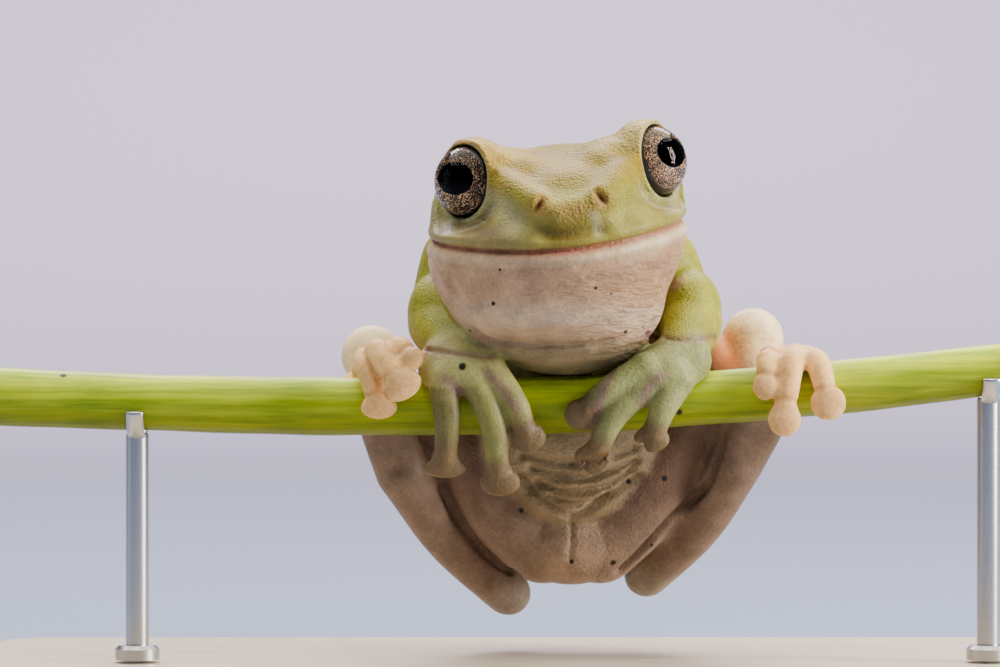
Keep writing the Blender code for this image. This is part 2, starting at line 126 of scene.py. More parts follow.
# The head hangs on the line between the two eyes of the frame.
SIDES = {"left": -1, "right": 1}
EYE_RADIUS = 3.75
LIDS = {"left": (51.0, 8.0), "right": (57.0, 5.5)}  # degrees that the lids look out from the nose, and up
HEAD_YAW, HEAD_PITCH, HEAD_ROLL = 3.0, 5.0, 6.2
MOUTH_HEIGHT = -7.2  # of the middle of the mouth, below the eyes
MOUTH_RISE = 142.0  # the mouth rises by x * x over this
JAW_HALF_WIDTH, JAW_LENGTH = 12.3, 14.9
JAW_MIDDLE = (-0.7, 5.2)  # between the joints of the jaw

eye_left, eye_right = middle_of("eye_left"), middle_of("eye_right")
eye_gap = (eye_right - eye_left).length
head_place = turned(Matrix.Translation((eye_right + eye_left) / 2),
                    (HEAD_YAW, "Z"), (HEAD_PITCH, "X"), (-HEAD_ROLL, "Y"))
eye_places = {}
for side, sign in SIDES.items():
    azimuth, rise = LIDS[side]
    socket = head_place @ Matrix.Translation((sign * eye_gap / 2, 0, 0))
    eye_places[side] = turned(socket, (sign * azimuth, "Z"), (-rise, "X"))


def jaw_edge(drop, inset=1.0):
    """Points round the edge of the jaw, this far below the mouth, drawn in by the inset."""
    turns = [math.pi * step / 16 for step in range(17)]
    edge = [(JAW_MIDDLE[0] - JAW_HALF_WIDTH * math.cos(turn), -JAW_LENGTH * math.sin(turn) ** 0.85)
            for turn in turns]
    return [(x * inset, JAW_MIDDLE[1] + y * inset, MOUTH_HEIGHT - drop + x * x / MOUTH_RISE)
            for x, y in edge]


mass((-0.2, 4.5, -3.6), (12.0, 12.0, 6.3), place=head_place)  # skull
mass((-0.3, 10.5, -4.6), (11.4, 8.0, 7.0), place=head_place)  # nape
mass((0, -3.4, -3.5), (7.6, 7.0, 4.6), (12, 0, 0), head_place)  # snout
mass((0, -7.3, -4.3), (5.0, 3.8, 3.3), place=head_place)  # muzzle
mass((0, -4.6, -2.2), (4.6, 6.0, 2.1), (14, 0, 0), head_place)  # flat between the ridges
mass((-0.4, -1.3, -6.4), (10.8, 8.2, 2.8), place=head_place)  # roof of the mouth
length(jaw_edge(-1.1), [1.0, 1.15, 1.3, *[1.4] * 11, 1.3, 1.15, 1.0], head_place, steps=2)  # upper lip
for side, sign in SIDES.items():
    mass((sign * 7.4 - 0.7, 3.6, -5.0), (5.4, 8.0, 4.0), place=head_place)  # cheek
    mass((sign * 5.3 - 0.3, -2.6, -4.7), (4.5, 5.8, 3.2), (0, sign * 14, 0), head_place)  # face
    mass((sign * 11.3 - 0.7, 3.4, -3.2), (1.7, 4.4, 3.0), place=head_place)  # below the eye
    mass((0, 0, 0), (EYE_RADIUS + 0.95,) * 3, place=eye_places[side])  # lids
    ridge = [(sign * 6.4, -3.4, -0.5), (sign * 4.9, -6.8, -1.4), (sign * 3.2, -9.3, -2.6)]
    length(ridge, (2.1, 1.7, 1.4), head_place)
    mass((sign * 4.6, 1.2, 0.6), (5.0, 6.0, 2.4), (0, sign * -14, 0), head_place)  # brow
    fold = [(sign * 10.9, 4.3, 0.2), (sign * 12.0, 8.4, -1.6), (sign * 12.3, 11.6, -5.2)]
    length(fold, (0.9, 1.1, 1.2), head_place)  # the fold over the ear

for drop in (1.1, 2.2, 3.3, 4.4, 5.5, 6.6):
    inset = 0.985 - 0.005 * drop * drop
    edge = [(x - 0.14 * drop, y, z) for x, y, z in jaw_edge(drop, inset)]
    length(edge, [1.35 + 0.1 * drop] * 17, head_place, steps=1)  # from the lower lip to the pouch
mass((-1.4, 0.5, -10.2), (10.4, 9.9, 5.6), place=head_place)  # floor of the mouth
mass((-0.3, -1.6, 42.6), (11.0, 8.5, 7.4))  # throat pouch
mass((0.3, -0.6, 39.5), (8.8, 5.6, 4.8))  # its fold, which rests on the stem

# Along the spine: the centre, half width, half depth and half length of the mass there.
SPINE = [
    (-0.4, 8.6, 50.0, 10.6, 7.4, 5.0),
    (0.0, 11.4, 46.2, 12.6, 9.4, 6.5),
    (0.1, 14.4, 39.0, 13.8, 11.3, 8.0),
    (0.4, 15.6, 31.2, 13.4, 12.0, 8.0),
    (0.8, 17.2, 24.0, 10.2, 10.4, 7.0),
    (1.1, 18.6, 18.6, 7.4, 7.4, 6.0),
]
SPINE_LEAN = -14  # degrees that the masses lean forward
for *centre, width, depth, height in rounded(SPINE):
    mass(centre, (width, depth, height), (SPINE_LEAN, 0, 0))
mass((0.6, 8.4, 27.0), (10.0, 5.0, 7.0))  # belly
mass((1.0, 8.6, 23.4), (6.8, 4.9, 4.6))  # lower belly, above the groin
mass((1.0, 11.4, 17.2), (6.4, 4.9, 4.9))  # between the thighs

# The limbs hang from these joints. The rump hangs a little to the right.
JOINTS = {
    "left": {
        "shoulder": (-11.0, 9.6, 46.6), "elbow": (-13.0, 9.4, 40.4), "wrist": (-11.2, -0.6, 37.3),
        "palm": (-10.6, -2.9, 35.2), "hip": (-1.9, 12.0, 17.0), "groin": (-7.0, 11.2, 22.0),
        "thigh": (-12.4, 10.8, 28.6), "knee": (-20.1, 13.0, 36.6), "calf": (-15.9, 17.4, 28.6),
        "heel": (-5.6, 18.4, 11.0), "ankle": (-16.7, 7.6, 24.2), "instep": (-18.7, 5.0, 30.2),
        "ball": (-19.2, 2.8, 35.4), "edge": (-12.8, -1.8, 35.6),
    },
    "right": {
        "shoulder": (10.6, 9.6, 46.4), "elbow": (13.2, 9.4, 40.8), "wrist": (12.5, -0.6, 37.6),
        "palm": (10.4, -2.9, 35.4), "hip": (4.1, 12.0, 17.0), "groin": (8.2, 11.2, 21.2),
        "thigh": (12.8, 10.8, 28.2), "knee": (20.4, 13.0, 38.4), "calf": (15.8, 16.6, 28.0),
        "heel": (9.3, 18.4, 13.0), "ankle": (18.3, 7.6, 25.2), "instep": (21.4, 5.0, 31.0),
        "ball": (23.4, 3.0, 36.2), "edge": (13.1, -1.8, 36.3),
    },
}

# For each finger, outermost first: its points from knuckle to tip, and half the width and height of its disc.
FINGERS = {
    "left": [
        ([(-12.4, -3.6, 34.5), (-11.9, -4.9, 30.4), (-12.1, -4.1, 25.2)], (2.35, 1.0)),
        ([(-9.8, -4.0, 35.2), (-7.4, -4.9, 30.4), (-6.5, -4.1, 23.8)], (2.15, 1.5)),
        ([(-7.6, -4.0, 35.4), (-5.0, -4.9, 31.8), (-3.7, -4.5, 28.4)], (2.0, 1.6)),
    ],
    "right": [
        ([(11.8, -3.7, 34.2), (10.2, -4.9, 31.4), (9.0, -4.4, 28.2)], (1.9, 1.4)),
        ([(9.2, -4.2, 34.4), (5.2, -4.9, 30.6), (3.1, -4.1, 26.2)], (2.1, 1.6)),
        ([(8.4, -4.2, 35.4), (4.6, -4.9, 33.2), (1.8, -4.6, 30.7)], (1.8, 1.7)),
    ],
}

# For each toe, innermost first: its points from knuckle to tip, and the radii and turn of its pad.
TOES = {
    "left": [
        ([(-18.0, 0.2, 36.8), (-16.8, -2.6, 37.5), (-15.5, -4.9, 36.3)], (1.55, 0.8, 1.2), (0, -35, 15)),
        ([(-19.3, -0.6, 37.2), (-18.9, -4.0, 37.0), (-16.5, -6.2, 33.6)], (2.2, 0.8, 1.45), (0, -28, 0)),
        ([(-20.5, 0.0, 36.4), (-20.0, -3.0, 35.4), (-18.9, -4.0, 31.4)], (1.95, 0.8, 1.2), (0, 0, 0)),
        ([(-19.6, 5.4, 34.8), (-18.2, 5.6, 32.8), (-16.8, 4.8, 31.0)], (1.6, 0.8, 1.4), (0, 0, 0)),
        ([(-20.6, 5.2, 34.4), (-22.6, 5.2, 33.2), (-24.0, 4.8, 31.8)], (1.7, 0.8, 1.4), (0, 0, 0)),
    ],
    "right": [
        ([(22.2, 2.0, 36.8), (21.6, -0.6, 36.8), (20.9, -2.6, 36.2)], (1.15, 0.9, 1.1), (0, 0, -20)),
        ([(22.8, 1.2, 36.5), (21.2, -2.8, 35.7), (20.7, -4.3, 33.6)], (1.4, 0.9, 1.5), (0, 0, 0)),
        ([(24.0, 0.4, 36.8), (23.4, -3.4, 35.8), (22.6, -4.6, 30.2)], (1.75, 0.9, 1.8), (0, -12, 0)),
        ([(25.2, 0.6, 36.6), (26.2, -2.8, 35.8), (27.1, -4.2, 31.9)], (1.9, 0.9, 1.85), (0, 0, 0)),
        ([(24.0, 5.0, 36.0), (26.4, 5.2, 34.4), (27.6, 4.4, 32.8)], (1.6, 0.8, 1.5), (0, 0, 0)),
    ],
}

for side, sign in SIDES.items():
    shoulder, elbow, wrist, palm, hip, groin, thigh, knee, calf, *foot = JOINTS[side].values()
    heel, ankle, instep, ball, edge = foot
    length([shoulder, through(shoulder, elbow, 0.5), elbow], (4.0, 3.7, 3.3))
    length([elbow, through(elbow, wrist, 0.5, sign * 0.6, 0, 0.9), wrist], (3.2, 3.3, 2.6))
    mass(through(elbow, wrist, 0.3, sign * 0.3, 0, 1.6), (3.5, 4.8, 4.4))  # sleeve of loose skin
    length([wrist, palm], (2.6, 2.6))
    for (knuckle, joint, tip), disc in FINGERS[side]:
        length([palm, knuckle], (2.4, 1.8))
        length([knuckle, joint, through(joint, tip, 0.8)], (1.7, 1.4, 1.15))
        mass(through(joint, tip, 0.84, 0, 0.1, 0), (disc[0] * 0.66, 0.95, 1.5))  # it flares into the disc
        mass(tip, (disc[0], 0.85, disc[1]))
    length([finger[0] for finger, disc in FINGERS[side]], (1.8, 1.7, 1.6))  # knuckles
    mass(edge, (2.3, 2.3, 2.9))  # outer edge of the hand
    hidden_tip = (sign * 4.4, 4.2, 34.6)  # of the finger behind the stem
    length([palm, (sign * 6.6, 1.2, 36.4), hidden_tip], (2.2, 1.3, 1.1))
    mass(hidden_tip, (1.5, 0.9, 1.5), (40, 0, 0))

    above_knee = through(thigh, knee, 0.72, sign * 0.6, 0.0, -0.7)
    length([hip, groin, thigh, above_knee, knee], (4.6, 4.7, 4.0, 2.9, 3.35))
    length([knee, calf, through(calf, heel, 0.55), heel], (3.3, 3.4, 2.8, 2.4))
    length([heel, through(heel, ankle, 0.5, sign * 0.7, -0.3, -0.4), ankle], (2.6, 2.8, 2.8))
    for shift in (-1, 0, 1):  # the sole is three rays side by side
        spreads = zip((ankle, instep, ball), (0.6, 1.2, 1.5))
        length([(x + shift * spread, y, z) for (x, y, z), spread in spreads], (2.3, 1.6, 1.3))
    for (knuckle, joint, tip), pad, turn in TOES[side]:
        length([ball, knuckle], (1.3, 1.1))
        length([knuckle, joint, through(joint, tip, 0.8)], (1.25, 1.3, 1.1))
        mass(through(joint, tip, 0.82), (pad[0] * 0.74, 0.9, pad[2] * 0.8), turn)
        mass(tip, pad, turn)
mass((17.7, 9.6, 29.4), (2.8, 2.7, 4.6), (0, 24, 0))  # calf of the right leg, which the foot presses forward
mass((15.9, 11.6, 35.9), (2.4, 2.4, 3.0))  # and the skin between that knee and the flank

# ---------------------------------------------------------------- skin
# A real frog's skin is one loose, moist sheet with no seam. Here the masses are melted into one closed skin
# on a fine grid, smoothed, and then worked over with tools that press and raise it.

SKIN_GRID = 0.24
SKIN_FACES = 190000
FLESH = [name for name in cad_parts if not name.startswith(("eye_", "stem", "stand_"))]


def applied(piece):
    """Applies the piece's modifiers to its mesh."""
    bpy.context.view_layer.update()
    graph = bpy.context.evaluated_depsgraph_get()
    mesh = bpy.data.meshes.new_from_object(piece.evaluated_get(graph))
    piece.modifiers.clear()
    old, piece.data = piece.data, mesh
    bpy.data.meshes.remove(old)


def new_piece(name, form):
    mesh = bpy.data.meshes.new(name)
    form.to_mesh(mesh)
    form.free()
    piece = bpy.data.objects.new(name, mesh)
    bpy.context.scene.collection.objects.link(piece)
    return piece


skin = new_piece("skin", body)
melt = skin.modifiers.new("melt", "REMESH")
melt.mode = "VOXEL"
melt.voxel_size = SKIN_GRID * MM
smooth = skin.modifiers.new("smooth", "SMOOTH")
smooth.factor = 0.5
smooth.iterations = 5
applied(skin)


def rows(kind):
    """The "co" or "normal" of each point of the skin, one a row."""
    flat = np.empty(len(skin.data.vertices) * 3, np.float32)
    skin.data.vertices.foreach_get(kind, flat)
    return flat.reshape(-1, 3).astype(float)


def reshape(points):
    skin.data.vertices.foreach_set("co", (points * MM).astype(np.float32).ravel())
    skin.data.update()


def linked():
    """The two ends of each edge of the skin, and how many neighbours each of its points has."""
    ends = np.empty(len(skin.data.edges) * 2, np.int32)
    skin.data.edges.foreach_get("vertices", ends)
    return *ends.reshape(-1, 2).T, np.bincount(ends, minlength=len(skin.data.vertices))


def neighbour_mean(values):
    """The mean of each point's neighbours."""
    total = np.bincount(starts, values[stops], len(values)) + np.bincount(stops, values[starts], len(values))
    return total / neighbours


def relax(points, share, rounds):
    """Softens the skin where share is over 0, round by round."""
    for _ in range(rounds):
        mean = np.stack([neighbour_mean(column) for column in points.T], axis=1)
        points = points + share[:, None] * (mean - points)
    return points


def ramp(values, start, end):
    """0 before start, 1 past end, and a soft S between them."""
    share = np.clip((values - start) / (end - start), 0, 1)
    return share * share * (3 - 2 * share)


def fall(values, start, end):
    """1 before start, 0 past end, and a soft S between them."""
    return 1 - ramp(values, start, end)


def bell(values, width):
    return np.exp(-(values / width) ** 2)


def distance(points, line):
    """How far each point is from a line, in millimetres, or from a place where the line holds only one."""
    line = np.array(line)
    nearest = np.linalg.norm(points - line[0], axis=1)
    for start, along in zip(line, np.diff(line, axis=0)):
        share = np.clip((points - start) @ along / max(along @ along, 1e-9), 0, 1)
        nearest = np.minimum(nearest, np.linalg.norm(points - start - share[:, None] * along, axis=1))
    return nearest


def within(matrix, points):
    """The points as this place measures them, in millimetres."""
    inverse = np.array(matrix.inverted())
    return points @ inverse[:3, :3].T + inverse[:3, 3] / MM


def on_head(points):
    """The points as the head measures them, and how far each is over the line of the mouth."""
    local = within(head_place, points)
    return local, local[:, 2] - MOUTH_HEIGHT - local[:, 0] ** 2 / MOUTH_RISE


# The lids open in a ring round each globe.
LID_ANGLE = 74.0  # degrees from the middle of the opening to its edge
LID_THICKNESS = 0.24
LID_RADIUS = EYE_RADIUS + LID_THICKNESS


def round_eye(local):
    """Each point's distance from the middle of its eye, and its degrees behind the edge of the lids."""
    reach = np.linalg.norm(local, axis=1)
    angle = np.degrees(np.arccos(np.clip(-local[:, 1] / np.maximum(reach, 1e-6), -1, 1)))
    return reach, angle - LID_ANGLE


def from_eye(side, points):
    """Each point as one eye measures it, with its distance and its degrees behind the lids' edge."""
    local = within(eye_places[side], points)
    return local, *round_eye(local)


# Softening melts the ridges and the brows into the skull, the rows of the jaw into one throat, and the
# masses of the body into each other. Fingers and toes stay crisp.
points = rows("co") / MM
starts, stops, neighbours = linked()
local, over_mouth = on_head(points)
off_eyes = np.minimum(*(ramp(from_eye(side, points)[1], 4.8, 6.0) for side in SIDES))
face = ramp(over_mouth, 0.8, 2.2) * fall(local[:, 1], 12.0, 15.0) * off_eyes
throat = fall(over_mouth, -3.2, -1.8) * fall(local[:, 1], 1.0, 5.0) * ramp(points[:, 2], 36.5, 39)
throat *= fall(np.abs(points[:, 0]), 13.0, 15.0)
behind = ramp(points[:, 1], 6.5, 9.0) * ramp(points[:, 1] + np.abs(points[:, 0]) * 0.6, 14.0, 18.0)
points = relax(points, np.clip(0.9 * face + 0.9 * throat, 0, 0.9), 26)
behind *= fall(np.abs(points[:, 0]), 17.0, 21.0)
points = relax(points, 0.9 * np.maximum(behind, throat), 24)
for side in SIDES:
    points = relax(points, 0.8 * fall(distance(points, [JOINTS[side]["edge"]]), 2.4, 4.6), 16)

# The stem runs through the grip: the skin is pressed clear of it.
STEM_ENDS = (-60.0, 60.0)
STEM_RADIUS = 3.0
STEM_TAPER = (0.4, 0.45)  # how much thinner its right end is, and from what share of its length it thins
STEM_LOW = (-14.0, 31.4)  # its lowest point, and the height there
STEM_RISES = (0.00055, 0.00113)  # it rises to the left and to the right by the distance squared times this
STEM_CLEARANCE = 0.12


def stem_height(x):
    return STEM_LOW[1] + (x - STEM_LOW[0]) ** 2 * np.where(x > STEM_LOW[0], STEM_RISES[1], STEM_RISES[0])


def stem_radius(x):
    share = (x - STEM_ENDS[0]) / (STEM_ENDS[1] - STEM_ENDS[0])
    return STEM_RADIUS - STEM_TAPER[0] * np.maximum(0.0, share - STEM_TAPER[1]) / (1 - STEM_TAPER[1])


axis = stem_height(points[:, 0])
reach = np.hypot(points[:, 1], points[:, 2] - axis)
push = np.maximum(1, (stem_radius(points[:, 0]) + STEM_CLEARANCE) / reach)
points[:, 1] *= push
points[:, 2] = axis + (points[:, 2] - axis) * push

# The edge of the lids is thin, and behind it the skin turns in and lines the socket, clear of the globe.
SOCKET_RADIUS = EYE_RADIUS + 0.08
ring = LID_RADIUS * math.sin(math.radians(LID_ANGLE))
level = LID_RADIUS * math.cos(math.radians(LID_ANGLE))
for side, sign in SIDES.items():
    local = from_eye(side, points)[0]
    wide = np.hypot(local[:, 0], local[:, 2])
    # the skin round the opening is cut back level with the lids' edge, with a low roll along it
    roll = 0.2 * fall(sign * local[:, 0], 0.5, 3.6) * bell(wide - LID_RADIUS - 0.5, 0.5)
    allowed = level + roll + 0.5 * np.maximum(0, wide - LID_RADIUS - 1.6)
    cut = fall(wide, LID_RADIUS + 0.8, LID_RADIUS + 5.0) * ramp(over_mouth, 1.0, 3.0)
    proud = (wide > ring) & (-local[:, 1] > allowed) & (cut > 0)
    local[proud, 1] += (cut * (-local[:, 1] - allowed))[proud]
    # the lids lie close round the back half of the globe, and never cut into it
    reach, past = round_eye(local)
    free = ramp(sign * local[:, 0] + 0.8 * local[:, 2], 0.3, 2.6)  # where no face lies beside the lid
    close = np.maximum(ramp(past, 6, 16), free * ramp(past, -1, 1))
    close *= fall(reach, EYE_RADIUS + 1.3, EYE_RADIUS + 3.2)
    lid = LID_RADIUS + 0.1 + 0.3 * (1 - free) + 0.028 * np.maximum(0, past)
    drawn_in = reach + close * (np.minimum(reach, lid) - reach)
    least = LID_RADIUS - 0.5 * ramp(past, 12, 34)
    outside = (wide > ring) & (reach < LID_RADIUS + 5.5) & (reach > 2.0)
    local *= np.where(outside, np.maximum(drawn_in, least) / np.maximum(reach, 1e-6), 1.0)[:, None]
    # the skin inside the ring turns back round the globe
    lining = (wide <= ring) & (reach < EYE_RADIUS + 2.5) & (local[:, 1] < 0)
    turn = np.radians(180 - (180 - LID_ANGLE) * wide / ring)
    lined = local / np.maximum(wide, 1e-6)[:, None] * (np.sin(turn) * SOCKET_RADIUS)[:, None]
    lined[:, 1] = -np.cos(turn) * SOCKET_RADIUS
    local[lining] = lined[lining]
    near = proud | outside | lining
    matrix = np.array(eye_places[side])
    points[near] = local[near] @ matrix[:3, :3].T + matrix[:3, 3] / MM
    reach, past = from_eye(side, points)[1:]
    round_lid = ramp(past, 3, 7) * fall(past, 40, 55) * fall(reach, EYE_RADIUS + 5.0, EYE_RADIUS + 7.0)
    points = relax(points, 0.7 * round_lid, 8)
reshape(points)

# Lines on the skin are drawn as they look from in front, from the viewer's place, in the plane of the stem.
VIEWER = Vector((-6.5, -420.0, 39.0))


def surface():
    corners = [tuple(vertex.co / MM) for vertex in skin.data.vertices]
    return BVHTree.FromPolygons(corners, [tuple(face.vertices) for face in skin.data.polygons])


def drawn(shell, *marks):
    """A smooth line through the marks (x, z), laid on the skin as it is seen from in front."""
    line = []
    for x, z in rounded(marks) if len(marks) > 2 else marks:
        hit = shell.ray_cast(VIEWER, (Vector((x, 0, z)) - VIEWER).normalized())[0]
        if hit:
            line.append(tuple(hit))
    return np.array(line)


# For each line: how deep it is pressed in (a fold that stands up is below 0), how wide, and its marks.
LINES = {
    "wrist_left": (0.35, 0.3, (-14.2, 37.4), (-11.2, 37.0), (-7.5, 36.6)),
    "wrist_right": (0.3, 0.28, (8.6, 38.9), (12.1, 38.4), (15.8, 38.6)),
    "chin_fold": (0.5, 0.45, (-9.2, 39.4), (-7.7, 38.3), (-4.9, 37.8), (-0.3, 37.6), (3.8, 37.9),
                  (7.2, 38.7), (9.4, 40.2)),
    "corner_fold": (-0.5, 0.35, (-13.0, 46.4), (-11.7, 44.0), (-10.4, 42.2), (-8.8, 41.3), (-7.1, 41.8)),
    "web_left": (0, 1, (-12.1, 34.2), (-10.8, 33.1), (-9.6, 31.3)),
    "web_left_inner": (0, 1, (-7.7, 35.0), (-6.0, 33.0), (-4.9, 31.3)),
    "web_right": (0, 1, (10.3, 34.8), (9.0, 33.4), (8.1, 31.7)),
    "web_right_inner": (0, 1, (5.1, 35.0), (4.2, 33.0), (3.5, 31.1)),
    "belly_1": (0.8, 0.6, (-4.2, 26.4), (-1.8, 25.7), (1.3, 25.4), (4.9, 26.1), (8.0, 27.3)),
    "belly_2": (0.95, 0.5, (-3.4, 24.9), (-0.8, 24.2), (2.3, 24.0), (5.4, 24.8), (7.7, 25.7)),
    "belly_3": (1.0, 0.5, (-2.6, 23.4), (-0.3, 22.6), (2.3, 22.6), (5.1, 23.2), (7.2, 24.5)),
    "belly_4": (0.9, 0.45, (-1.5, 21.8), (0.5, 21.3), (2.8, 21.3), (4.9, 22.0)),
    "leg_left": (1.0, 0.5, (-12.4, 22.9), (-10.7, 19.8), (-8.0, 16.4), (-4.8, 14.2)),
    "leg_right": (1.0, 0.5, (16.6, 28.2), (15.6, 25.4), (14.4, 22.9), (11.6, 20.2), (8.4, 16.7),
                  (6.0, 14.4)),
    "toes_left": (0.3, 0.22, (-20.2, 36.2), (-19.4, 34.6), (-18.7, 33.2), (-18.2, 32.2)),
    "groin": (0.95, 0.5, (-4.4, 24.1), (-2.4, 21.8), (0.9, 19.9), (4.4, 21.6), (8.0, 24.1)),
    "midline": (0.3, 0.3, (0.9, 19.9), (0.9, 17.6), (0.8, 15.6)),
}
points = rows("co") / MM
shell = surface()
lines = {}
out = np.zeros(len(points))
for name, (depth, width, *marks) in LINES.items():
    lines[name] = drawn(shell, *marks)
    if depth:
        out -= depth * bell(distance(points, lines[name]), width)

# The mouth is a fine closed seam between a thin upper lip and a rolled lower one, with a groove below that.
LIPS = [(0.0, -0.38, 0.2), (0.8, 0.1, 0.5), (-0.9, 0.16, 0.5), (-1.9, -0.1, 0.35)]  # height, push and width
local, over_mouth = on_head(points)
head_x, head_y, head_z = local.T
jaw = fall(head_y, 4.0, 6.5) * fall(points[:, 2], 62, 64) * fall(np.abs(over_mouth), 2.0, 3.0)
for height, push, width in LIPS:
    out += jaw * push * bell(over_mouth - height, width)

# A broad ridge runs from each eye to its nostril, with a shallow hollow below it. The nose is a rounded lobe
# between the nostrils, undercut below.
for sign in SIDES.values():
    ridge = [(sign * 6.4, -4.6, -0.3), (sign * 5.0, -7.4, -1.2), (sign * 3.4, -10.2, -2.1)]
    hollow = [(sign * 7.4, -6.4, -3.4), (sign * 5.6, -9.2, -4.2)]
    out += 0.5 * bell(distance(local, ridge), 1.2) - (0.2 + 0.06 * sign) * bell(distance(local, hollow), 1.3)
front = ramp(-head_y, 6.5, 9.0)
out += 0.6 * front * fall(np.abs(head_x), 2.1, 3.4) * bell(head_z + 3.1, 1.1)
out += 0.7 * front * bell(np.hypot(head_x + 1.5, head_z + 3.9), 1.1)
out -= 0.75 * front * fall(np.abs(head_x), 2.2, 4.4) * bell(head_z + 5.6, 0.8)
out -= 0.12 * front * bell(head_x, 1.4) * bell(head_z + 1.2, 1.4)

# Each nostril is a small slanted slit with a raised rim. Below each eye a fold marks off the lower lid, and
# behind it the ear drum shows as a low ring. A crease parts each toe's pad from the toe.
NOSTRIL = (3.1, -10.2, -2.5)
NOSTRIL_SLANT = 35.0  # degrees that each slit leans outwards at its foot
EAR = (12.4, 8.2, -4.4)
EAR_RADIUS = 1.7


def from_nostril(sign, local):
    """How far each point is from one nostril, as its rim lies round it and as its slit is drawn out."""
    off = local - np.array([sign * NOSTRIL[0], *NOSTRIL[1:]])
    lean = math.radians(NOSTRIL_SLANT) * sign
    across = np.hypot(off[:, 0] * math.cos(lean) + off[:, 2] * math.sin(lean), 0.35 * off[:, 1])
    along = off[:, 2] * math.cos(lean) - off[:, 0] * math.sin(lean)
    return np.hypot(across, along * 0.8), np.hypot(across / 0.75, along / 1.5)


def from_ear(sign, local):
    """How far each point is outside the ring of one ear drum."""
    return distance(local, [(sign * EAR[0] - 0.2, *EAR[1:])]) - EAR_RADIUS


def lid_fold(side, points, width):
    """The fold below one eye, drawn this wide."""
    off = from_eye(side, points)[0]
    wide = np.hypot(off[:, 0], off[:, 2])
    return bell(wide - LID_RADIUS - 1.4, width) * ramp(-off[:, 2], 0.8, 2.6) * ramp(-off[:, 1], -0.5, 0.5)


def pad_crease(toe, points):
    """The crease at the neck of one toe's pad."""
    along = np.array((Vector(toe[2]) - Vector(toe[1])).normalized())
    off = points - np.array(through(toe[1], toe[2], 0.66))
    return bell(off @ along, 0.3) * bell(np.linalg.norm(off, axis=1), 2.0)


for side, sign in SIDES.items():
    from_rim, from_slit = from_nostril(sign, local)
    out += 0.22 * bell(from_rim, 1.0) - 0.85 * bell(from_slit, 0.4) - 0.16 * lid_fold(side, points, 0.22)
    out += 0.12 * bell(from_ear(sign, local) - 0.6, 0.35) - 0.2 * bell(from_ear(sign, local), 0.35)
    for toe, *_ in TOES[side]:
        out -= 0.16 * pad_crease(toe, points)
reshape(points + rows("normal") * out[:, None])

thin = skin.modifiers.new("thin", "DECIMATE")
thin.ratio = min(1.0, SKIN_FACES / (2 * len(skin.data.polygons)))
thin.use_collapse_triangulate = True
applied(skin)
skin.data.shade_smooth()
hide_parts(*FLESH)
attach(skin, "root")

# ---------------------------------------------------------------- paint
# The colours of the skin are sprayed in soft zones one over the other, as on a museum model, and some
# zones are painted light and shade. The lips, the folds, the nostrils and the lids are lined last.


def linear(hex_colour):
    """The linear RGBA of an sRGB hex colour."""
    channels = [int(hex_colour[i : i + 2], 16) / 255 for i in (0, 2, 4)]
    return [c / 12.92 if c <= 0.04045 else ((c + 0.055) / 1.055) ** 2.4 for c in channels] + [1.0]


def node_labels(points):
    """For each point of the skin, the frame's part that lies nearest."""
    corners, faces, owners = [], [], []
    for name in FLESH:
        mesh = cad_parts[name].data
        first = len(corners)
        corners.extend(tuple(vertex.co / MM) for vertex in mesh.vertices)
        faces.extend(tuple(first + corner for corner in face.vertices) for face in mesh.polygons)
        owners.extend([name] * len(mesh.polygons))
    parts = BVHTree.FromPolygons(corners, faces)
    return np.array([owners[parts.find_nearest(Vector(point))[2]] for point in points])


def zone(*parts, softness=8):
    """1 on these parts, of both sides, and 0 off them, softened across their edges."""
    share = np.isin(labels, [name for name in FLESH if name.startswith(parts)]).astype(float)
    for _ in range(softness):
        share = 0.5 * share + 0.5 * neighbour_mean(share)
    return share


def spray(hex_colour, share):
    """Lays a colour over what is there, by its share at each point."""
    global colour
    share = np.clip(share, 0, 1)[:, None]
    colour = colour * (1 - share) + np.array(linear(hex_colour)) * share


def stroke(hex_colour, share, width, line):
    """Sprays a soft stroke of this width along a line."""
    spray(hex_colour, share * bell(distance(points, line), width))


points = rows("co") / MM
facing = rows("normal")[:, 1]  # 1 where the skin looks back, and -1 where it looks to the front
starts, stops, neighbours = linked()
labels = node_labels(points)
shell = surface()
local, over_mouth = on_head(points)
x, y, z = points.T
head_x, head_y, head_z = local.T
rightwards = ramp(head_x, -8.0, 8.0)
above = ramp(over_mouth, -0.15, 0.15)
below = 1 - above
head = zone("head") * above
lips = zone("head", "lower_jaw", softness=4) * fall(head_y, 6.0, 8.0)
chin = zone("lower_jaw", softness=3)
throat = zone("lower_jaw")
belly = zone("trunk") * fall(y, 8.0, 12.0)
arms = zone("upper_arm", "forearm")
hands = zone("hand", softness=12)
legs = zone("thigh", "shank", "tarsus", "foot", softness=12)
feet = zone("foot", softness=12)
colour = np.tile(linear("929230"), (len(points), 1))
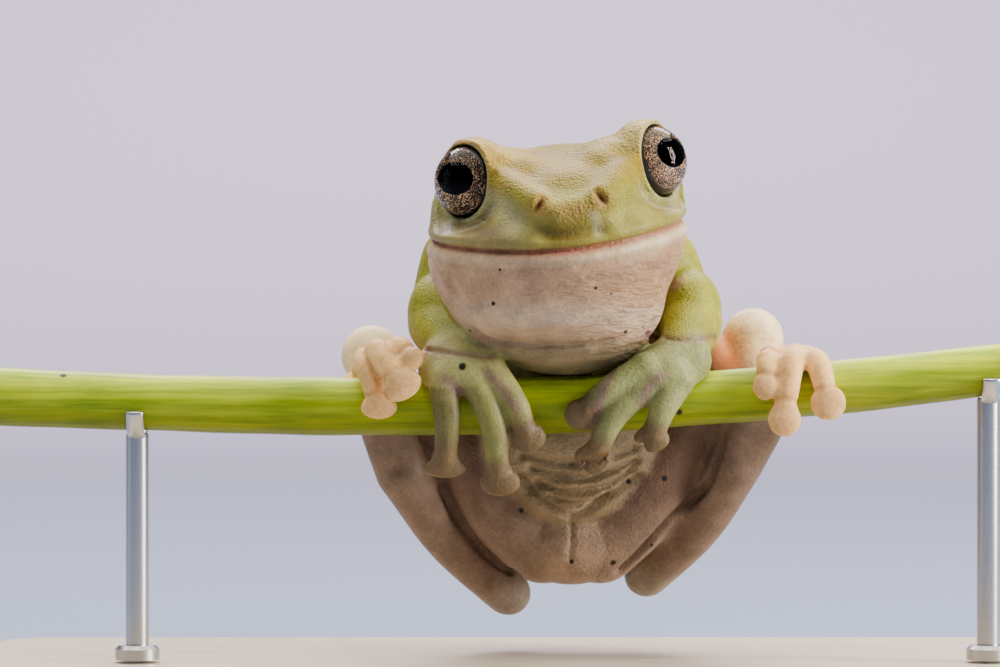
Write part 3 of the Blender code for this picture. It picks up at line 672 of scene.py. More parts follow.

# head and snout, with paler brows, painted shade under the nose and on the left cheek, and painted light
# on the right brow, the left lore and the right of the face
spray("7c6c58", fall(z, 30.0, 34.0) * fall(y, 12.0, 16.0))
off_nape = 1 - 0.85 * ramp(head_y, 1.0, 13.0)
spray("8e7806", head * ramp(head_z, -3.5, 0.5) * off_nape)
spray("8f8836", head * fall(head_z, -3.5, -1.5) * off_nape)
# the brows are paler; the right one is painted paler again, as painted light from the right
for side, brow in (("left", "c4a23a"), ("right", "d8be74")):
    spray(brow, 0.55 * head * fall(from_eye(side, points)[1], 5.2, 7.4) * ramp(head_z, 0.8, 2.6))
# painted shade under the lobe of the nose, deepest on its left
spray("664f1e", 0.9 * head * bell(head_x + 0.6, 2.8) * bell(head_z + 5.6, 1.0))
spray("5c4818", 0.7 * head * bell(np.hypot(head_x + 2.6, 1.3 * (head_z + 5.0)), 1.0))
# painted light along the left lore, where the light catches it
stroke("ccbc84", 0.75 * head, 1.5, drawn(shell, (-7.0, 52.6), (-5.6, 51.6), (-4.8, 50.6)))
# a painted highlight: a pale streak of sheen on the right of the face
stroke("d8d0a4", 0.45 * head, 0.45, drawn(shell, (3.2, 51.4), (3.6, 50.1), (3.7, 49.3)))
spray("9c7434", 0.7 * head * bell(head_x, 2.4) * bell(head_z + 3.3, 0.9) * ramp(-head_y, 6.5, 9.0))
# painted shade on the left cheek below the eye, which is turned from the light
stroke("58492a", 0.85 * head, 1.5, drawn(shell, (-11.0, 50.4), (-9.4, 49.8), (-7.6, 49.4)))
spray("9c8660", 0.5 * lips * above * bell(over_mouth - 0.8, 0.9) * fall(head_x, -7.0, -2.5))

# throat, lighter and warmer to the left as painted light, and with painted shade where it folds
spray("a68262", lips * below)
spray("a68262", chin * below)
# painted light: the left of the throat sprayed lighter
spray("c09a76", 0.75 * chin * below * (1 - rightwards))
spray("ccb69c", 0.7 * chin * bell(z - 40.6, 1.6))
spray("857458", throat * fall(z, 37.0, 39.6))

# arms, belly and legs, which are green on the side that looks back, with painted shade low on the belly
# and on the tops of the thighs
spray("94942c", arms)
spray("917f63", belly)
# painted shade on the lower belly
spray("7a6848", 0.6 * belly * bell(z - 22.0, 3.0))
spray("7c6656", legs)
# painted shade on the tops of the thighs, under the stem
spray("6a5242", zone("thigh", softness=12) * ramp(z, 17.0, 24.0))
spray("8c8c30", legs * (1 - feet) * ramp(facing, -0.1, 0.6) * ramp(y, 9.0, 12.0))
spray("a98d74", 0.75 * (legs + belly) * bell(np.hypot(x - 0.8, z - 14.5), 4.5))

# hands and feet, then knees, heels, toes and fingers one by one, with painted light on the hands and knees
# and painted shade on the fingers, their discs and the creases of the toes
# painted shade on each finger, outermost first: the left hand's outer finger lies in shade
FINGER_PAINTED_SHADE = {"left": (0.95, 0.25, 0.1), "right": (0.1, 0.25, 0.1)}  # how dark each is, outermost first
spray("8a8a4c", hands)
# painted light: the right hand, on the lit side, sprayed paler and greyer
spray("93a070", 0.35 * hands * (x > 0))
# painted light: the back of the left hand above the stem sprayed paler, where light falls from above
spray("aea868", 0.8 * hands * (x < 0) * ramp(z, 31.5, 34.5))
feet *= ramp(np.abs(x), 13.9, 14.5)
spray("f2c078", feet * np.maximum(ramp(z, 29.5, 33.0), fall(y, -1.5, 1.0)))
for side in SIDES:
    # the knees' own peach skin, painted nearly white with painted light where the light falls on them
    spray("ffe2b0", fall(distance(points, [JOINTS[side]["knee"]]), 3.2, 5.0) * fall(facing, 0.1, 0.7))
    for toe, *_ in TOES[side]:
        spray("f2c078", fall(distance(points, toe), 1.35, 1.75))
        spray("c89c6c", 0.35 * feet * fall(distance(points, toe[-1:]), 1.4, 2.2))
        # painted shade in the crease at the neck of each pad
        spray("b06a34", 0.5 * feet * pad_crease(toe, points))
    spray("8a8074", 0.8 * fall(distance(points, [JOINTS[side]["heel"]]), 2.0, 5.0))
    for (finger, disc), shade in zip(FINGERS[side], FINGER_PAINTED_SHADE[side]):
        # painted shade down each finger below the edge of the stem
        stroke("54492e", shade * hands * (z < 33.5), 2.4, finger)
        # painted shade on each finger's disc
        spray("6c5a3e", hands * fall(distance(points, finger[-1:]), disc[0] * 0.8, disc[0] * 1.8))

# the lower lip, with a painted highlight to the right, the seam of the mouth, and the lines of the skin,
# with painted shade in the folds, creases and gaps
# the lower lip's own cream, painted brighter to the right as a painted highlight
spray("d3bf98", lips * below * bell(over_mouth + 0.95, 0.7) * (0.3 + 0.6 * rightwards))
spray("ae6450", 0.8 * lips * below * bell(over_mouth + 0.3, 0.4) * bell(head_x + 0.5, 5.0))
spray("9c5040", 0.85 * lips * bell(over_mouth, 0.26))
# painted shade in the fold of the chin
stroke("7a6a4a", 0.6 * throat, 0.5, lines["chin_fold"])
stroke("8c8676", 0.5, 0.45, lines["corner_fold"])
stroke("cc742c", 0.85 * (1 - feet), 1.9, drawn(shell, (16.9, 38.6), (17.3, 36.8)))  # flush by the right knee
# painted shade in the crease between the left toes
stroke("a8764c", 0.6, 0.3, lines["toes_left"])
# painted shade in the gap between each thigh and its leg
for name in ("leg_left", "leg_right"):
    stroke("3e241c", 0.85, 0.6, lines[name])
# painted shade in the folds of the belly and the groin
for name in ("belly_2", "belly_3", "belly_4", "groin"):
    stroke("54432c", 0.6, 0.4, lines[name])
for name in lines:
    if name.startswith(("wrist", "web")):
        stroke("7a4a5c", 0.6, 0.55, lines[name])

# nostrils with painted shade in their slits, ear drums, the pale edge of the lids, painted shade in the folds
# below them, and painted shade for the dark lining of the sockets
for side, sign in SIDES.items():
    from_rim, from_slit = from_nostril(sign, local)
    spray("b87a48", 0.6 * bell(from_rim, 0.9))
    # painted shade in the nostril's slit
    spray("4e2413", bell(from_slit, 0.36))
    spray("8a7440", 0.45 * head * fall(from_ear(sign, local), -0.6, 0))
    reach, past = from_eye(side, points)[1:]
    off_globe = reach - LID_RADIUS
    spray("b9b98e", 0.45 * ramp(off_globe, -0.02, 0.1) * fall(off_globe, 0.3, 0.8) * fall(past, 6, 14))
    # painted shade in the fold below the eye
    spray("7d7058", 0.5 * lid_fold(side, points, 0.9))
    spray("b8b48c", 0.5 * lid_fold(side, points, 0.16))
    # painted shade: the lining of the socket sprayed near-black
    spray("1c140e", fall(off_globe, -0.1, -0.02))

layer = skin.data.attributes.new("paint", "FLOAT_COLOR", "POINT")
layer.data.foreach_set("color", colour.astype(np.float32).ravel())


def weigh(name, share):
    """Stores a share for each point, which a material reads by name."""
    layer = skin.data.attributes.new(name, "FLOAT", "POINT")
    layer.data.foreach_set("value", np.clip(share, 0, 1).astype(np.float32))


knees = sum(fall(distance(points, [JOINTS[side]["knee"]]), 4.5, 7.0) for side in SIDES)
low_face = head * fall(head_z, -5.5, -2.5)
weigh("grain", 1 - 0.9 * throat - 0.75 * hands - 0.9 * feet - 0.55 * arms - 0.5 * belly - 0.6 * legs - knees
      - 0.75 * low_face)
weigh("wrinkle", throat * below * ramp(-over_mouth, 1.5, 3.0) * (0.45 + 0.55 * rightwards) + 0.35 * belly)


def fit(made, inputs):
    """Sets a node's inputs, or links them where they take another node's output."""
    for name, value in inputs.items():
        if isinstance(value, bpy.types.NodeSocket):
            made.id_data.links.new(value, made.inputs[name])
        else:
            made.inputs[name].default_value = value


def node(tree, kind, inputs=None, stops=(), **settings):
    """Adds a shader node with its settings and inputs, and a ramp's (position, colour) stops."""
    made = tree.nodes.new("ShaderNode" + kind)
    for name, value in settings.items():
        setattr(made, name, value)
    fit(made, inputs or {})
    for index, (position, hex_colour) in enumerate(stops):
        row = made.color_ramp.elements
        stop = row[index] if index < len(row) else row.new(position)
        stop.position, stop.color = position, linear(hex_colour)
    return made


def new_material(name):
    """A material, its node tree and its Principled shader."""
    material = bpy.data.materials.new(name)
    material.use_nodes = True
    return material, material.node_tree, material.node_tree.nodes["Principled BSDF"]


def speck(tree, coordinates, place, solid, edge):
    """A mask that is 1 within a small distance of a place and 0 past a longer one."""
    away = node(tree, "VectorMath", {0: coordinates, 1: place}, operation="DISTANCE").outputs["Value"]
    return node(tree, "MapRange", {"Value": away, "From Min": solid, "From Max": edge, "To Min": 1.0,
                                   "To Max": 0.0}).outputs["Result"]


# Moist frog skin, thin and a little see-through: its highlights are broad, and light warms its edges.
moist_skin, tree, shader = new_material("moist_frog_skin")
coordinates = node(tree, "TexCoord").outputs["Object"]
paint = node(tree, "Attribute", attribute_name="paint").outputs["Color"]
grain = node(tree, "Attribute", attribute_name="grain").outputs["Fac"]
wrinkle = node(tree, "Attribute", attribute_name="wrinkle").outputs["Fac"]

# mottling: soft blotches 2.4 mm across, and fine freckling of 0.4 mm between them
blotches = node(tree, "TexNoise", {"Vector": coordinates, "Scale": 420.0, "Detail": 5.0}).outputs["Fac"]
freckles = node(tree, "TexNoise", {"Vector": coordinates, "Scale": 2600.0, "Detail": 3.0}).outputs["Fac"]
NOISE_SPAN = {"From Min": 0.3, "From Max": 0.7}  # nearly all of a noise lies between these
broad = node(tree, "MapRange", {"Value": blotches, **NOISE_SPAN, "To Min": 0.8, "To Max": 1.22})
fine = node(tree, "MapRange", {"Value": freckles, **NOISE_SPAN, "To Min": 0.86, "To Max": 1.14})
value = node(tree, "Math", {0: broad.outputs["Result"], 1: fine.outputs["Result"]},
             operation="MULTIPLY").outputs[0]
toned = node(tree, "HueSaturation", {"Value": value, "Color": paint}).outputs["Color"]

# black specks, each at (x, z) as seen from in front, with its radius
SPECKS = [(-6.5, 45.6, 0.15), (-7.2, 42.1, 0.22), (-9.6, 39.3, 0.2), (3.4, 43.7, 0.18), (5.0, 43.1, 0.14),
          (6.5, 39.2, 0.24), (-10.4, 35.6, 0.4), (-4.3, 20.7, 0.28), (0.9, 15.4, 0.24), (5.2, 15.3, 0.32),
          (6.8, 23.7, 0.28), (10.5, 24.0, 0.3), (9.2, 17.1, 0.2)]
specks = 0.0
for *mark, radius in SPECKS:
    spot = drawn(shell, mark)[0] * MM
    dot = speck(tree, coordinates, spot, 0.7 * radius * MM, 1.3 * radius * MM)
    specks = node(tree, "Math", {0: specks, 1: dot}, operation="MAXIMUM").outputs[0]
speckled = node(tree, "Mix", {"Factor": specks, 6: toned, 7: linear("1d1a12")}, data_type="RGBA").outputs[2]

# granules 0.3 mm across stand up most on the head and the back, and the throat is wrinkled across
granules = node(tree, "TexVoronoi", {"Vector": coordinates, "Scale": 3200.0, "Randomness": 0.9})
domes = node(tree, "Math", {0: 1.0, 1: granules.outputs["Distance"]}, operation="SUBTRACT").outputs[0]
domes = node(tree, "Math", {0: domes, 1: grain}, operation="MULTIPLY").outputs[0]
stretched = node(tree, "Mapping", {"Vector": coordinates, "Scale": (0.25, 0.25, 1.0)}).outputs["Vector"]
fine = node(tree, "TexNoise", {"Vector": stretched, "Scale": 2600.0, "Detail": 3.0, "Distortion": 0.8})
broad = node(tree, "TexNoise", {"Vector": stretched, "Scale": 900.0, "Detail": 2.0, "Distortion": 1.0})
wrinkles = node(tree, "Math", {0: broad.outputs["Fac"], 1: 2.0, 2: fine.outputs["Fac"]},
                operation="MULTIPLY_ADD").outputs[0]
wrinkles = node(tree, "Math", {0: wrinkles, 1: wrinkle}, operation="MULTIPLY").outputs[0]
height = node(tree, "Math", {0: wrinkles, 1: 1.6, 2: domes}, operation="MULTIPLY_ADD").outputs[0]
height = node(tree, "Math", {0: freckles, 1: 0.3, 2: height}, operation="MULTIPLY_ADD").outputs[0]
bump = node(tree, "Bump", {"Height": height, "Strength": 1.0, "Distance": 0.00018}).outputs["Normal"]
rough = node(tree, "MapRange", {"Value": freckles, **NOISE_SPAN, "To Min": 0.42, "To Max": 0.6})
fit(shader, {"Base Color": speckled, "Normal": bump, "Roughness": rough.outputs["Result"], "IOR": 1.4,
             "Specular IOR Level": 0.3, "Coat Weight": 0.08, "Coat Roughness": 0.25,
             "Subsurface Weight": 0.25, "Subsurface Radius": (1.0, 0.45, 0.25), "Subsurface Scale": 0.0012})
skin.data.materials.clear()
skin.data.materials.append(moist_skin)

# ---------------------------------------------------------------- eyes
# Each eye is a blown clear globe, as a glass eye is, over a painted eyeball: a dark ball, a flat bronze iris
# set back from its front, and a deep oval pupil.

EYEBALL_RADIUS = 3.62
IRIS_ANGLE = 64.0  # degrees from the pupil's middle to the rim of the iris, seen from the globe's centre
IRIS_RISE = 0.28  # how far the iris stands up round the pupil
PUPIL_DEPTH = 1.3
PUPIL_RADII = {"left": 1.6, "right": 1.4}
PUPIL_STRETCH = (0.22, -0.08)  # how much wider and higher than round it is
PUPIL_SHIFT = {"left": (-0.05, 0.3), "right": (0.35, 0.35)}  # to the right of the middle of the iris, and up
GAZE = {"left": (-40.0, -2.0), "right": (53.0, 14.0)}  # degrees to the right of straight ahead, and up

# Clear blown glass. A coating takes off most of the glare, so one small highlight is all that shows of it.
clear_globe, tree, shader = new_material("clear_glass")
fit(shader, {"Base Color": (1, 1, 1, 1), "Roughness": 0.0, "IOR": 1.34, "Transmission Weight": 1.0,
             "Specular Tint": (0.3, 0.3, 0.32, 1)})

# Brown-black enamel, brushed on: a soft dark gloss with clouds 0.7 mm across, seen at the edge of the globe.
dark_ball, tree, shader = new_material("brown_black_enamel")
coordinates = node(tree, "TexCoord").outputs["Object"]
cloud = node(tree, "TexNoise", {"Vector": coordinates, "Scale": 1500.0}).outputs["Fac"]
shade = node(tree, "ValToRGB", {"Fac": cloud}, stops=[(0.0, "0d0907"), (1.0, "2c1e15")]).outputs["Color"]
fit(shader, {"Base Color": shade, "Roughness": 0.4})

# Bronze powder stippled over dark paint: flecks 0.15 mm across that catch the light one by one.
bronze_iris, tree, shader = new_material("bronze_stippled_iris")
coordinates = node(tree, "TexCoord").outputs["Object"]
flecks = node(tree, "TexVoronoi", {"Vector": coordinates, "Scale": 6800.0}).outputs["Distance"]
grit = node(tree, "TexNoise", {"Vector": coordinates, "Scale": 6000.0, "Detail": 4.0,
                               "Roughness": 0.75}).outputs["Fac"]
wide = node(tree, "TexNoise", {"Vector": coordinates, "Scale": 800.0, "Detail": 2.0}).outputs["Fac"]
mixed = node(tree, "Math", {0: flecks, 1: -0.9, 2: grit}, operation="MULTIPLY_ADD").outputs[0]
mixed = node(tree, "Math", {0: wide, 1: 0.4, 2: mixed}, operation="MULTIPLY_ADD").outputs[0]
shade = node(tree, "ValToRGB", {"Fac": mixed}, stops=[(0.26, "150c07"), (0.38, "8a5c36"), (0.52, "ffd092")])
bump = node(tree, "Bump", {"Height": mixed, "Strength": 0.6, "Distance": 0.0001}).outputs["Normal"]
fit(shader, {"Base Color": shade.outputs["Color"], "Normal": bump, "Roughness": 0.35, "Metallic": 0.35})

# Black lacquer, rubbed dull: the pupil takes in all light, and so looks deep.
black_pupil, tree, shader = new_material("black_lacquer")
fit(shader, {"Base Color": linear("010101"), "Roughness": 0.6, "Specular IOR Level": 0.0})

for side in SIDES:
    azimuth, rise = GAZE[side]
    pupil_radius = PUPIL_RADII[side]
    look = turned(Matrix.Translation(middle_of("eye_" + side)), (azimuth, "Z"), (-rise, "X"))

    form = bmesh.new()
    bmesh.ops.create_uvsphere(form, u_segments=96, v_segments=64, radius=EYE_RADIUS * MM,
                              matrix=turned(look, (90, "X")))
    globe = new_piece("eye_globe_" + side, form)
    globe.data.shade_smooth()
    globe.data.materials.append(clear_globe)
    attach(globe, "root")

    # profile from the back of the ball (angle 180) to the rim of the iris, then in to the pupil and its pit
    rim = math.radians(IRIS_ANGLE)
    iris_depth, iris_radius = EYEBALL_RADIUS * math.cos(rim), EYEBALL_RADIUS * math.sin(rim)
    profile = []
    for step in range(25):
        turn = math.pi + (rim - math.pi) * step / 24
        profile.append((EYEBALL_RADIUS * math.sin(turn), EYEBALL_RADIUS * math.cos(turn)))
    for share in (0.1, 0.3, 0.5, 0.7, 0.9, 1.0):
        radius = iris_radius * (1 - share) + pupil_radius * share
        profile.append((radius, iris_depth + IRIS_RISE * math.sin(math.pi / 2 * share)))
    for share in (0.15, 0.4, 0.7, 1.0):
        turn = math.pi / 2 * share
        pit = iris_depth + IRIS_RISE - PUPIL_DEPTH * math.sin(turn)
        profile.append((pupil_radius * math.cos(turn), pit))
    form = bmesh.new()
    corners = [form.verts.new((radius * MM, -along * MM, 0)) for radius, along in profile]
    edges = [form.edges.new(pair) for pair in zip(corners, corners[1:])]
    bmesh.ops.spin(form, geom=corners + edges, axis=(0, 1, 0), cent=(0, 0, 0), angle=2 * math.pi, steps=96,
                   use_merge=True)
    bmesh.ops.remove_doubles(form, verts=form.verts, dist=1e-7)
    bmesh.ops.recalc_face_normals(form, faces=form.faces)
    for face in form.faces:
        middle = face.calc_center_median() / MM
        wide = math.hypot(middle.x, middle.z)
        behind_iris = middle.y > -iris_depth + 0.02
        if behind_iris and wide > pupil_radius:
            face.material_index = 0
        elif wide > pupil_radius - 0.02 and not behind_iris:
            face.material_index = 1
        else:
            face.material_index = 2
        face.smooth = True
    # the pupil is a level oval, a little off the middle of the iris
    for corner in form.verts:
        wide = math.hypot(corner.co.x, corner.co.z) / MM
        if corner.co.y < -0.2 * MM and wide < iris_radius - 0.05:
            share = min(1.0, 1 - (wide - pupil_radius) / (iris_radius - pupil_radius))
            corner.co.x = corner.co.x * (1 + PUPIL_STRETCH[0] * share) + PUPIL_SHIFT[side][0] * share * MM
            corner.co.z = corner.co.z * (1 + PUPIL_STRETCH[1] * share) + PUPIL_SHIFT[side][1] * share * MM
    bmesh.ops.transform(form, matrix=look, verts=form.verts)
    ball = new_piece("eyeball_" + side, form)
    for material in (dark_ball, bronze_iris, black_pupil):
        ball.data.materials.append(material)
    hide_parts("eye_" + side)
    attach(ball, "root")

# ---------------------------------------------------------------- stem
# A fresh-cut green leaf stalk: a firm waxy rind with faint ribs along it, and a paler, wet pith at the cut
# ends. It is one tube, a little uneven as a grown thing is, and lies loose in the saddles of the stand.

STEM_RINGS, STEM_SIDES = 220, 96
form = bmesh.new()
bmesh.ops.create_grid(form, x_segments=STEM_RINGS, y_segments=STEM_SIDES, size=1.0)
upper = form.verts.layers.float.new("upper")
for corner in form.verts:
    x = STEM_ENDS[0] + (corner.co.x + 1) / 2 * (STEM_ENDS[1] - STEM_ENDS[0])
    turn = math.pi * corner.co.y
    ribs = 0.035 * math.sin(13 * turn + 1.3 * math.sin(3 * turn)) + 0.02 * math.sin(29 * turn + 0.02 * x)
    swell = 0.05 * math.sin(0.21 * x + 1.0) + 0.03 * math.sin(0.57 * x + 2 * turn)
    radius = stem_radius(x) + 0.4 * ribs + swell - 0.05
    corner.co = at(x, radius * math.cos(turn), stem_height(x) + radius * math.sin(turn))
    # how far up the stem each point lies, which the rind's painted light and shade reads
    corner[upper] = 0.5 + 0.5 * math.sin(turn)
bmesh.ops.remove_doubles(form, verts=form.verts, dist=1e-6)
rims = [edge for edge in form.edges if edge.is_boundary]
caps = bmesh.ops.edgeloop_fill(form, edges=rims)["faces"]
for inset, dip in ((0.18, 0.1), (0.48, -0.12), (1.5, -0.1)):  # the pith sinks in the rind, and swells again
    bmesh.ops.inset_region(form, faces=caps, thickness=inset * MM, depth=dip * MM)
for face in caps:
    face.material_index = 1
bmesh.ops.recalc_face_normals(form, faces=form.faces)
stem = new_piece("green_stem", form)
stem.data.shade_smooth()
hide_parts("stem")
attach(stem, "root")

# The waxy rind of a living stalk: satin, a little see-through, and streaked along its length by strands
# 0.7 mm across. Its colour reads "upper": painted light and shade make the top lighter and the underside
# darker, over a little paleness of the rind's own on the side that faced the sun.
waxy_rind, tree, shader = new_material("waxy_green_rind")
coordinates = node(tree, "TexCoord").outputs["Object"]
along = node(tree, "Mapping", {"Vector": coordinates, "Scale": (0.05, 1.0, 1.0)}).outputs["Vector"]
streaks = node(tree, "TexNoise", {"Vector": along, "Scale": 1500.0, "Detail": 4.0,
                                  "Roughness": 0.6}).outputs["Fac"]
clouds = node(tree, "TexNoise", {"Vector": coordinates, "Scale": 90.0, "Detail": 3.0}).outputs["Fac"]
blend = node(tree, "Math", {0: clouds, 1: 0.6, 2: streaks}, operation="MULTIPLY_ADD").outputs[0]
shade = node(tree, "ValToRGB", {"Fac": blend}, stops=[(0.55, "6c8a02"), (1.0, "bac80c")]).outputs["Color"]
upwards = node(tree, "Attribute", attribute_name="upper").outputs["Fac"]
# painted light and shade: the top of the rind lighter, its underside darker
painted_light_and_shade = node(tree, "MapRange", {"Value": upwards, "To Min": 0.38, "To Max": 1.55}).outputs["Result"]
shaded = node(tree, "HueSaturation", {"Value": painted_light_and_shade, "Color": shade}).outputs["Color"]
for place in (at(-51.5, -1.6, 34.7), at(11.9, -2.6, 30.9)):
    dot = speck(tree, coordinates, place, 0.25 * MM, 0.45 * MM)
    shaded = node(tree, "Mix", {"Factor": dot, 6: shaded, 7: linear("2a2414")}, data_type="RGBA").outputs[2]
bump = node(tree, "Bump", {"Height": streaks, "Strength": 0.35, "Distance": 0.0001}).outputs["Normal"]
rough = node(tree, "MapRange", {"Value": streaks, **NOISE_SPAN, "To Min": 0.34, "To Max": 0.48})
fit(shader, {"Base Color": shaded, "Normal": bump, "Roughness": rough.outputs["Result"], "IOR": 1.42,
             "Specular IOR Level": 0.3, "Subsurface Weight": 0.2, "Subsurface Radius": (0.5, 1.0, 0.2),
             "Subsurface Scale": 0.001})
stem.data.materials.append(waxy_rind)

# Wet pith, cut with a knife: pale cells 0.45 mm across with a bright, wet gloss.
wet_pith, tree, shader = new_material("wet_stem_pith")
coordinates = node(tree, "TexCoord").outputs["Object"]
strands = node(tree, "TexVoronoi", {"Vector": coordinates, "Scale": 2200.0}).outputs["Distance"]
shade = node(tree, "ValToRGB", {"Fac": strands}, stops=[(0.0, "8fa044"), (0.45, "d3dba0")]).outputs["Color"]
bump = node(tree, "Bump", {"Height": strands, "Strength": 0.5, "Distance": 0.0001}).outputs["Normal"]
fit(shader, {"Base Color": shade, "Normal": bump, "Roughness": 0.3})
stem.data.materials.append(wet_pith)

# ---------------------------------------------------------------- stand
# A plain display stand: a plank of oiled maple with eased edges, and two brushed steel rods, each with a
# turned collar at its foot and a small saddle that carries the stem.

BASE_CORNER, BASE_EASING = 6.0, 0.5
low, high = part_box("stand_base")
span = high - low
form = bmesh.new()
plank = Matrix.Translation((low + high) / 2) @ Matrix.Diagonal((*span, 1))
bmesh.ops.create_cube(form, size=1.0, matrix=plank)
upright = [edge for edge in form.edges if abs((edge.verts[0].co - edge.verts[1].co).z) > span.z / 2]
bmesh.ops.bevel(form, geom=upright, offset=BASE_CORNER * MM, segments=12, profile=0.5, affect="EDGES",
                material=-1)
rims = [edge for edge in form.edges if len(edge.link_faces) == 2 and edge.calc_face_angle() > 1.0]
bmesh.ops.bevel(form, geom=rims, offset=BASE_EASING * MM, segments=4, profile=0.5, affect="EDGES",
                material=-1)
base = new_piece("maple_base", form)
base.data.shade_smooth()
base.data.set_sharp_from_angle(angle=math.radians(50))
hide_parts("stand_base")
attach(base, "root")

# Oiled maple, planed and sanded: a low sheen over pale growth lines and pores of 0.3 mm drawn out along it.
maple, tree, shader = new_material("oiled_maple")
coordinates = node(tree, "TexCoord").outputs["Object"]
along = node(tree, "Mapping", {"Vector": coordinates, "Scale": (0.06, 1.0, 1.0)}).outputs["Vector"]
growth = node(tree, "TexNoise", {"Vector": along, "Scale": 110.0, "Detail": 3.0, "Distortion": 0.8})
rings = node(tree, "Math", {0: growth.outputs["Fac"], 1: 14.0}, operation="MULTIPLY").outputs[0]
rings = node(tree, "Math", {0: rings}, operation="FRACT").outputs[0]
pores = node(tree, "TexNoise", {"Vector": along, "Scale": 3000.0, "Detail": 2.0}).outputs["Fac"]
figure = node(tree, "Math", {0: rings, 1: 0.35, 2: pores}, operation="MULTIPLY_ADD").outputs[0]
shade = node(tree, "ValToRGB", {"Fac": figure}, stops=[(0.35, "b3a287"), (0.85, "d3c5ab")]).outputs["Color"]
bump = node(tree, "Bump", {"Height": pores, "Strength": 0.2, "Distance": 0.0001}).outputs["Normal"]
fit(shader, {"Base Color": shade, "Normal": bump, "Roughness": 0.45})
base.data.materials.append(maple)

# Stainless steel, brushed round each rod: the scratches, 0.1 mm apart, draw its highlights out lengthwise.
steel, tree, shader = new_material("brushed_steel")
coordinates = node(tree, "TexCoord").outputs["Object"]
around = node(tree, "Mapping", {"Vector": coordinates, "Scale": (0.1, 0.1, 1.0)}).outputs["Vector"]
scratches = node(tree, "TexNoise", {"Vector": around, "Scale": 9000.0, "Detail": 3.0}).outputs["Fac"]
rough = node(tree, "MapRange", {"Value": scratches, "To Min": 0.22, "To Max": 0.4}).outputs["Result"]
bump = node(tree, "Bump", {"Height": scratches, "Strength": 0.15, "Distance": 0.00005}).outputs["Normal"]
fit(shader, {"Base Color": linear("c4c4c6"), "Normal": bump, "Roughness": rough, "Metallic": 1.0})

COLLAR_RADIUS, COLLAR_HEIGHT, COLLAR_BEVEL = 2.3, 1.5, 0.4
SADDLE_WIRE, SADDLE_ARC = 0.42, 75.0  # its wire's radius, and degrees that it reaches up each side
SADDLE_GAP = 0.1  # between the wire and the stem
SADDLE_STRETCH = 2.2  # how much wider than thick the wire is
for side in SIDES:
    low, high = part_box("stand_rod_" + side)
    x = (low.x + high.x) / 2 / MM
    radius = (high.x - low.x) / 2 / MM
    foot, top = low.z / MM, high.z / MM
    # the profile of the rod and its collar, from the axis at the foot up to the top
    profile = [(0, foot), (COLLAR_RADIUS, foot), (COLLAR_RADIUS, foot + COLLAR_HEIGHT - COLLAR_BEVEL),
               (COLLAR_RADIUS - COLLAR_BEVEL, foot + COLLAR_HEIGHT), (radius, foot + COLLAR_HEIGHT),
               (radius, top - 0.35), (radius - 0.2, top - 0.15), (0, top - 0.15)]
    form = bmesh.new()
    corners = [form.verts.new(at(x + out, 0, z)) for out, z in profile]
    edges = [form.edges.new(pair) for pair in zip(corners, corners[1:])]
    bmesh.ops.spin(form, geom=corners + edges, axis=(0, 0, 1), cent=at(x, 0, 0), angle=2 * math.pi, steps=48,
                   use_merge=True)
    bmesh.ops.remove_doubles(form, verts=form.verts, dist=1e-6)
    bmesh.ops.recalc_face_normals(form, faces=form.faces)
    rod = new_piece("steel_rod_" + side, form)
    rod.data.shade_smooth()
    rod.data.set_sharp_from_angle(angle=math.radians(35))
    rod.data.materials.append(steel)
    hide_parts("stand_rod_" + side)
    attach(rod, "root")

    # the saddle: a flattened wire bent up round the underside of the stem
    axis = at(x, 0, stem_height(x))
    drop = (stem_radius(x) + SADDLE_GAP + SADDLE_WIRE) * MM
    form = bmesh.new()
    bmesh.ops.create_circle(form, cap_ends=False, segments=16, radius=SADDLE_WIRE * MM)
    section = turned(Matrix.Translation(axis - Vector((0, 0, drop))), (90, "X"))
    section = section @ Matrix.Diagonal((SADDLE_STRETCH, 1, 1, 1))
    bmesh.ops.transform(form, matrix=section, verts=form.verts)
    arc = math.radians(SADDLE_ARC)
    bmesh.ops.rotate(form, verts=form.verts, cent=axis, matrix=Matrix.Rotation(-arc, 3, "X"))
    bmesh.ops.spin(form, geom=list(form.edges), axis=(1, 0, 0), cent=axis, angle=2 * arc, steps=32)
    bmesh.ops.edgeloop_fill(form, edges=[edge for edge in form.edges if edge.is_boundary])
    bmesh.ops.recalc_face_normals(form, faces=form.faces)
    saddle = new_piece("steel_saddle_" + side, form)
    saddle.data.shade_smooth()
    saddle.data.materials.append(steel)
    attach(saddle, "root")

# ---------------------------------------------------------------- floor, light and camera
# A sweep of pale paper lies flat under the stand and curves up far behind it. Soft boxes light it from
# above, from the right and on the backdrop. Measures here are in metres.

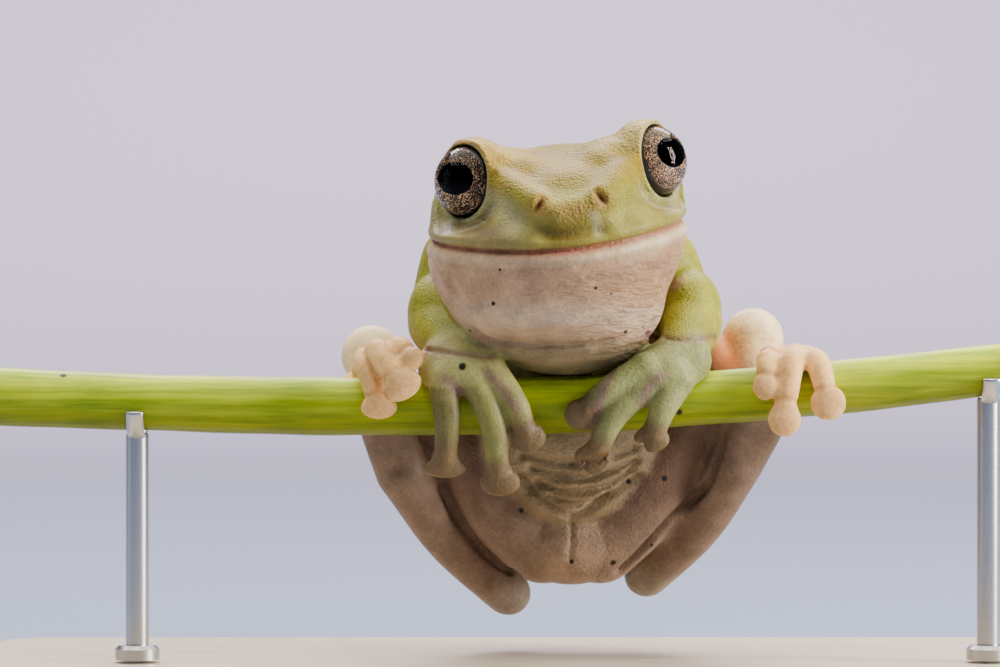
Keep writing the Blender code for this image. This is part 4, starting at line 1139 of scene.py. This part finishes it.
SWEEP_WIDTH, SWEEP_RISE = 8.0, 3.0
SWEEP_FRONT, SWEEP_BACK = -3.0, 1.0  # where the flat begins, and where it starts to rise
sweep = bmesh.new()
front = sweep.edges.new([sweep.verts.new((x, SWEEP_FRONT, 0)) for x in (-SWEEP_WIDTH / 2, SWEEP_WIDTH / 2)])
flat = bmesh.ops.extrude_edge_only(sweep, edges=[front])["geom"]
far = [corner for corner in flat if isinstance(corner, bmesh.types.BMVert)]
bmesh.ops.translate(sweep, vec=(0, SWEEP_BACK - SWEEP_FRONT, 0), verts=far)
back = [edge for edge in sweep.edges if all(corner in far for corner in edge.verts)]
bmesh.ops.spin(sweep, geom=back, cent=(0, SWEEP_BACK, SWEEP_RISE), axis=(1, 0, 0), angle=math.pi / 2,
               steps=24)
bmesh.ops.recalc_face_normals(sweep, faces=sweep.faces)
floor = new_piece("floor", sweep)
floor.data.shade_smooth()

# Matt studio paper, which takes no highlight. It is darker and bluer towards the front.
pale, tree, shader = new_material("pale_studio_paper")
coordinates = node(tree, "TexCoord").outputs["Object"]
depth = node(tree, "SeparateXYZ", {"Vector": coordinates}).outputs["Y"]
share = node(tree, "MapRange", {"Value": depth, "From Min": 0.0, "From Max": 1.6}).outputs["Result"]
shade = node(tree, "ValToRGB", {"Fac": share}, stops=[(0.0, "8595b0"), (1.0, "b3afbe")]).outputs["Color"]
fit(shader, {"Base Color": shade, "Roughness": 0.95})
floor.data.materials.append(pale)

world = bpy.data.worlds.new("studio")
bpy.context.scene.world = world
world.use_nodes = True
fit(world.node_tree.nodes["Background"], {"Color": linear("d4d6e4"), "Strength": 0.12})


def softbox(name, place, size, power, hex_colour="ffffff", target=(0, 0, 0.04)):
    lamp = bpy.data.lights.new(name, "AREA")
    lamp.shape = "RECTANGLE"
    lamp.size, lamp.size_y = size
    lamp.energy = power
    lamp.color = linear(hex_colour)[:3]
    stand = bpy.data.objects.new(name, lamp)
    bpy.context.scene.collection.objects.link(stand)
    stand.location = place
    stand.rotation_euler = (Vector(target) - Vector(place)).to_track_quat("-Z", "Y").to_euler()


softbox("top_softbox", (-0.04, 0.02, 0.50), (0.80, 0.80), 7.4, "fffaf2")
softbox("side_softbox", (0.46, -0.13, 0.20), (0.16, 0.36), 6.0, "fff6ea")
softbox("left_card", (-0.50, -0.06, 0.10), (0.20, 0.40), 0.12)
softbox("backdrop_softbox", (0, 1.7, 1.5), (2.0, 1.0), 78.0, "fff0fc", (0, 1.7, 0))

camera = bpy.data.objects.new("camera", bpy.data.cameras.new("camera"))
bpy.context.scene.collection.objects.link(camera)
camera.data.sensor_width = 36.0
camera.data.lens = 146.2
camera.data.clip_start = 0.01
camera.location = VIEWER * MM
camera.rotation_euler = (math.pi / 2, 0, 0)
bpy.context.scene.camera = camera
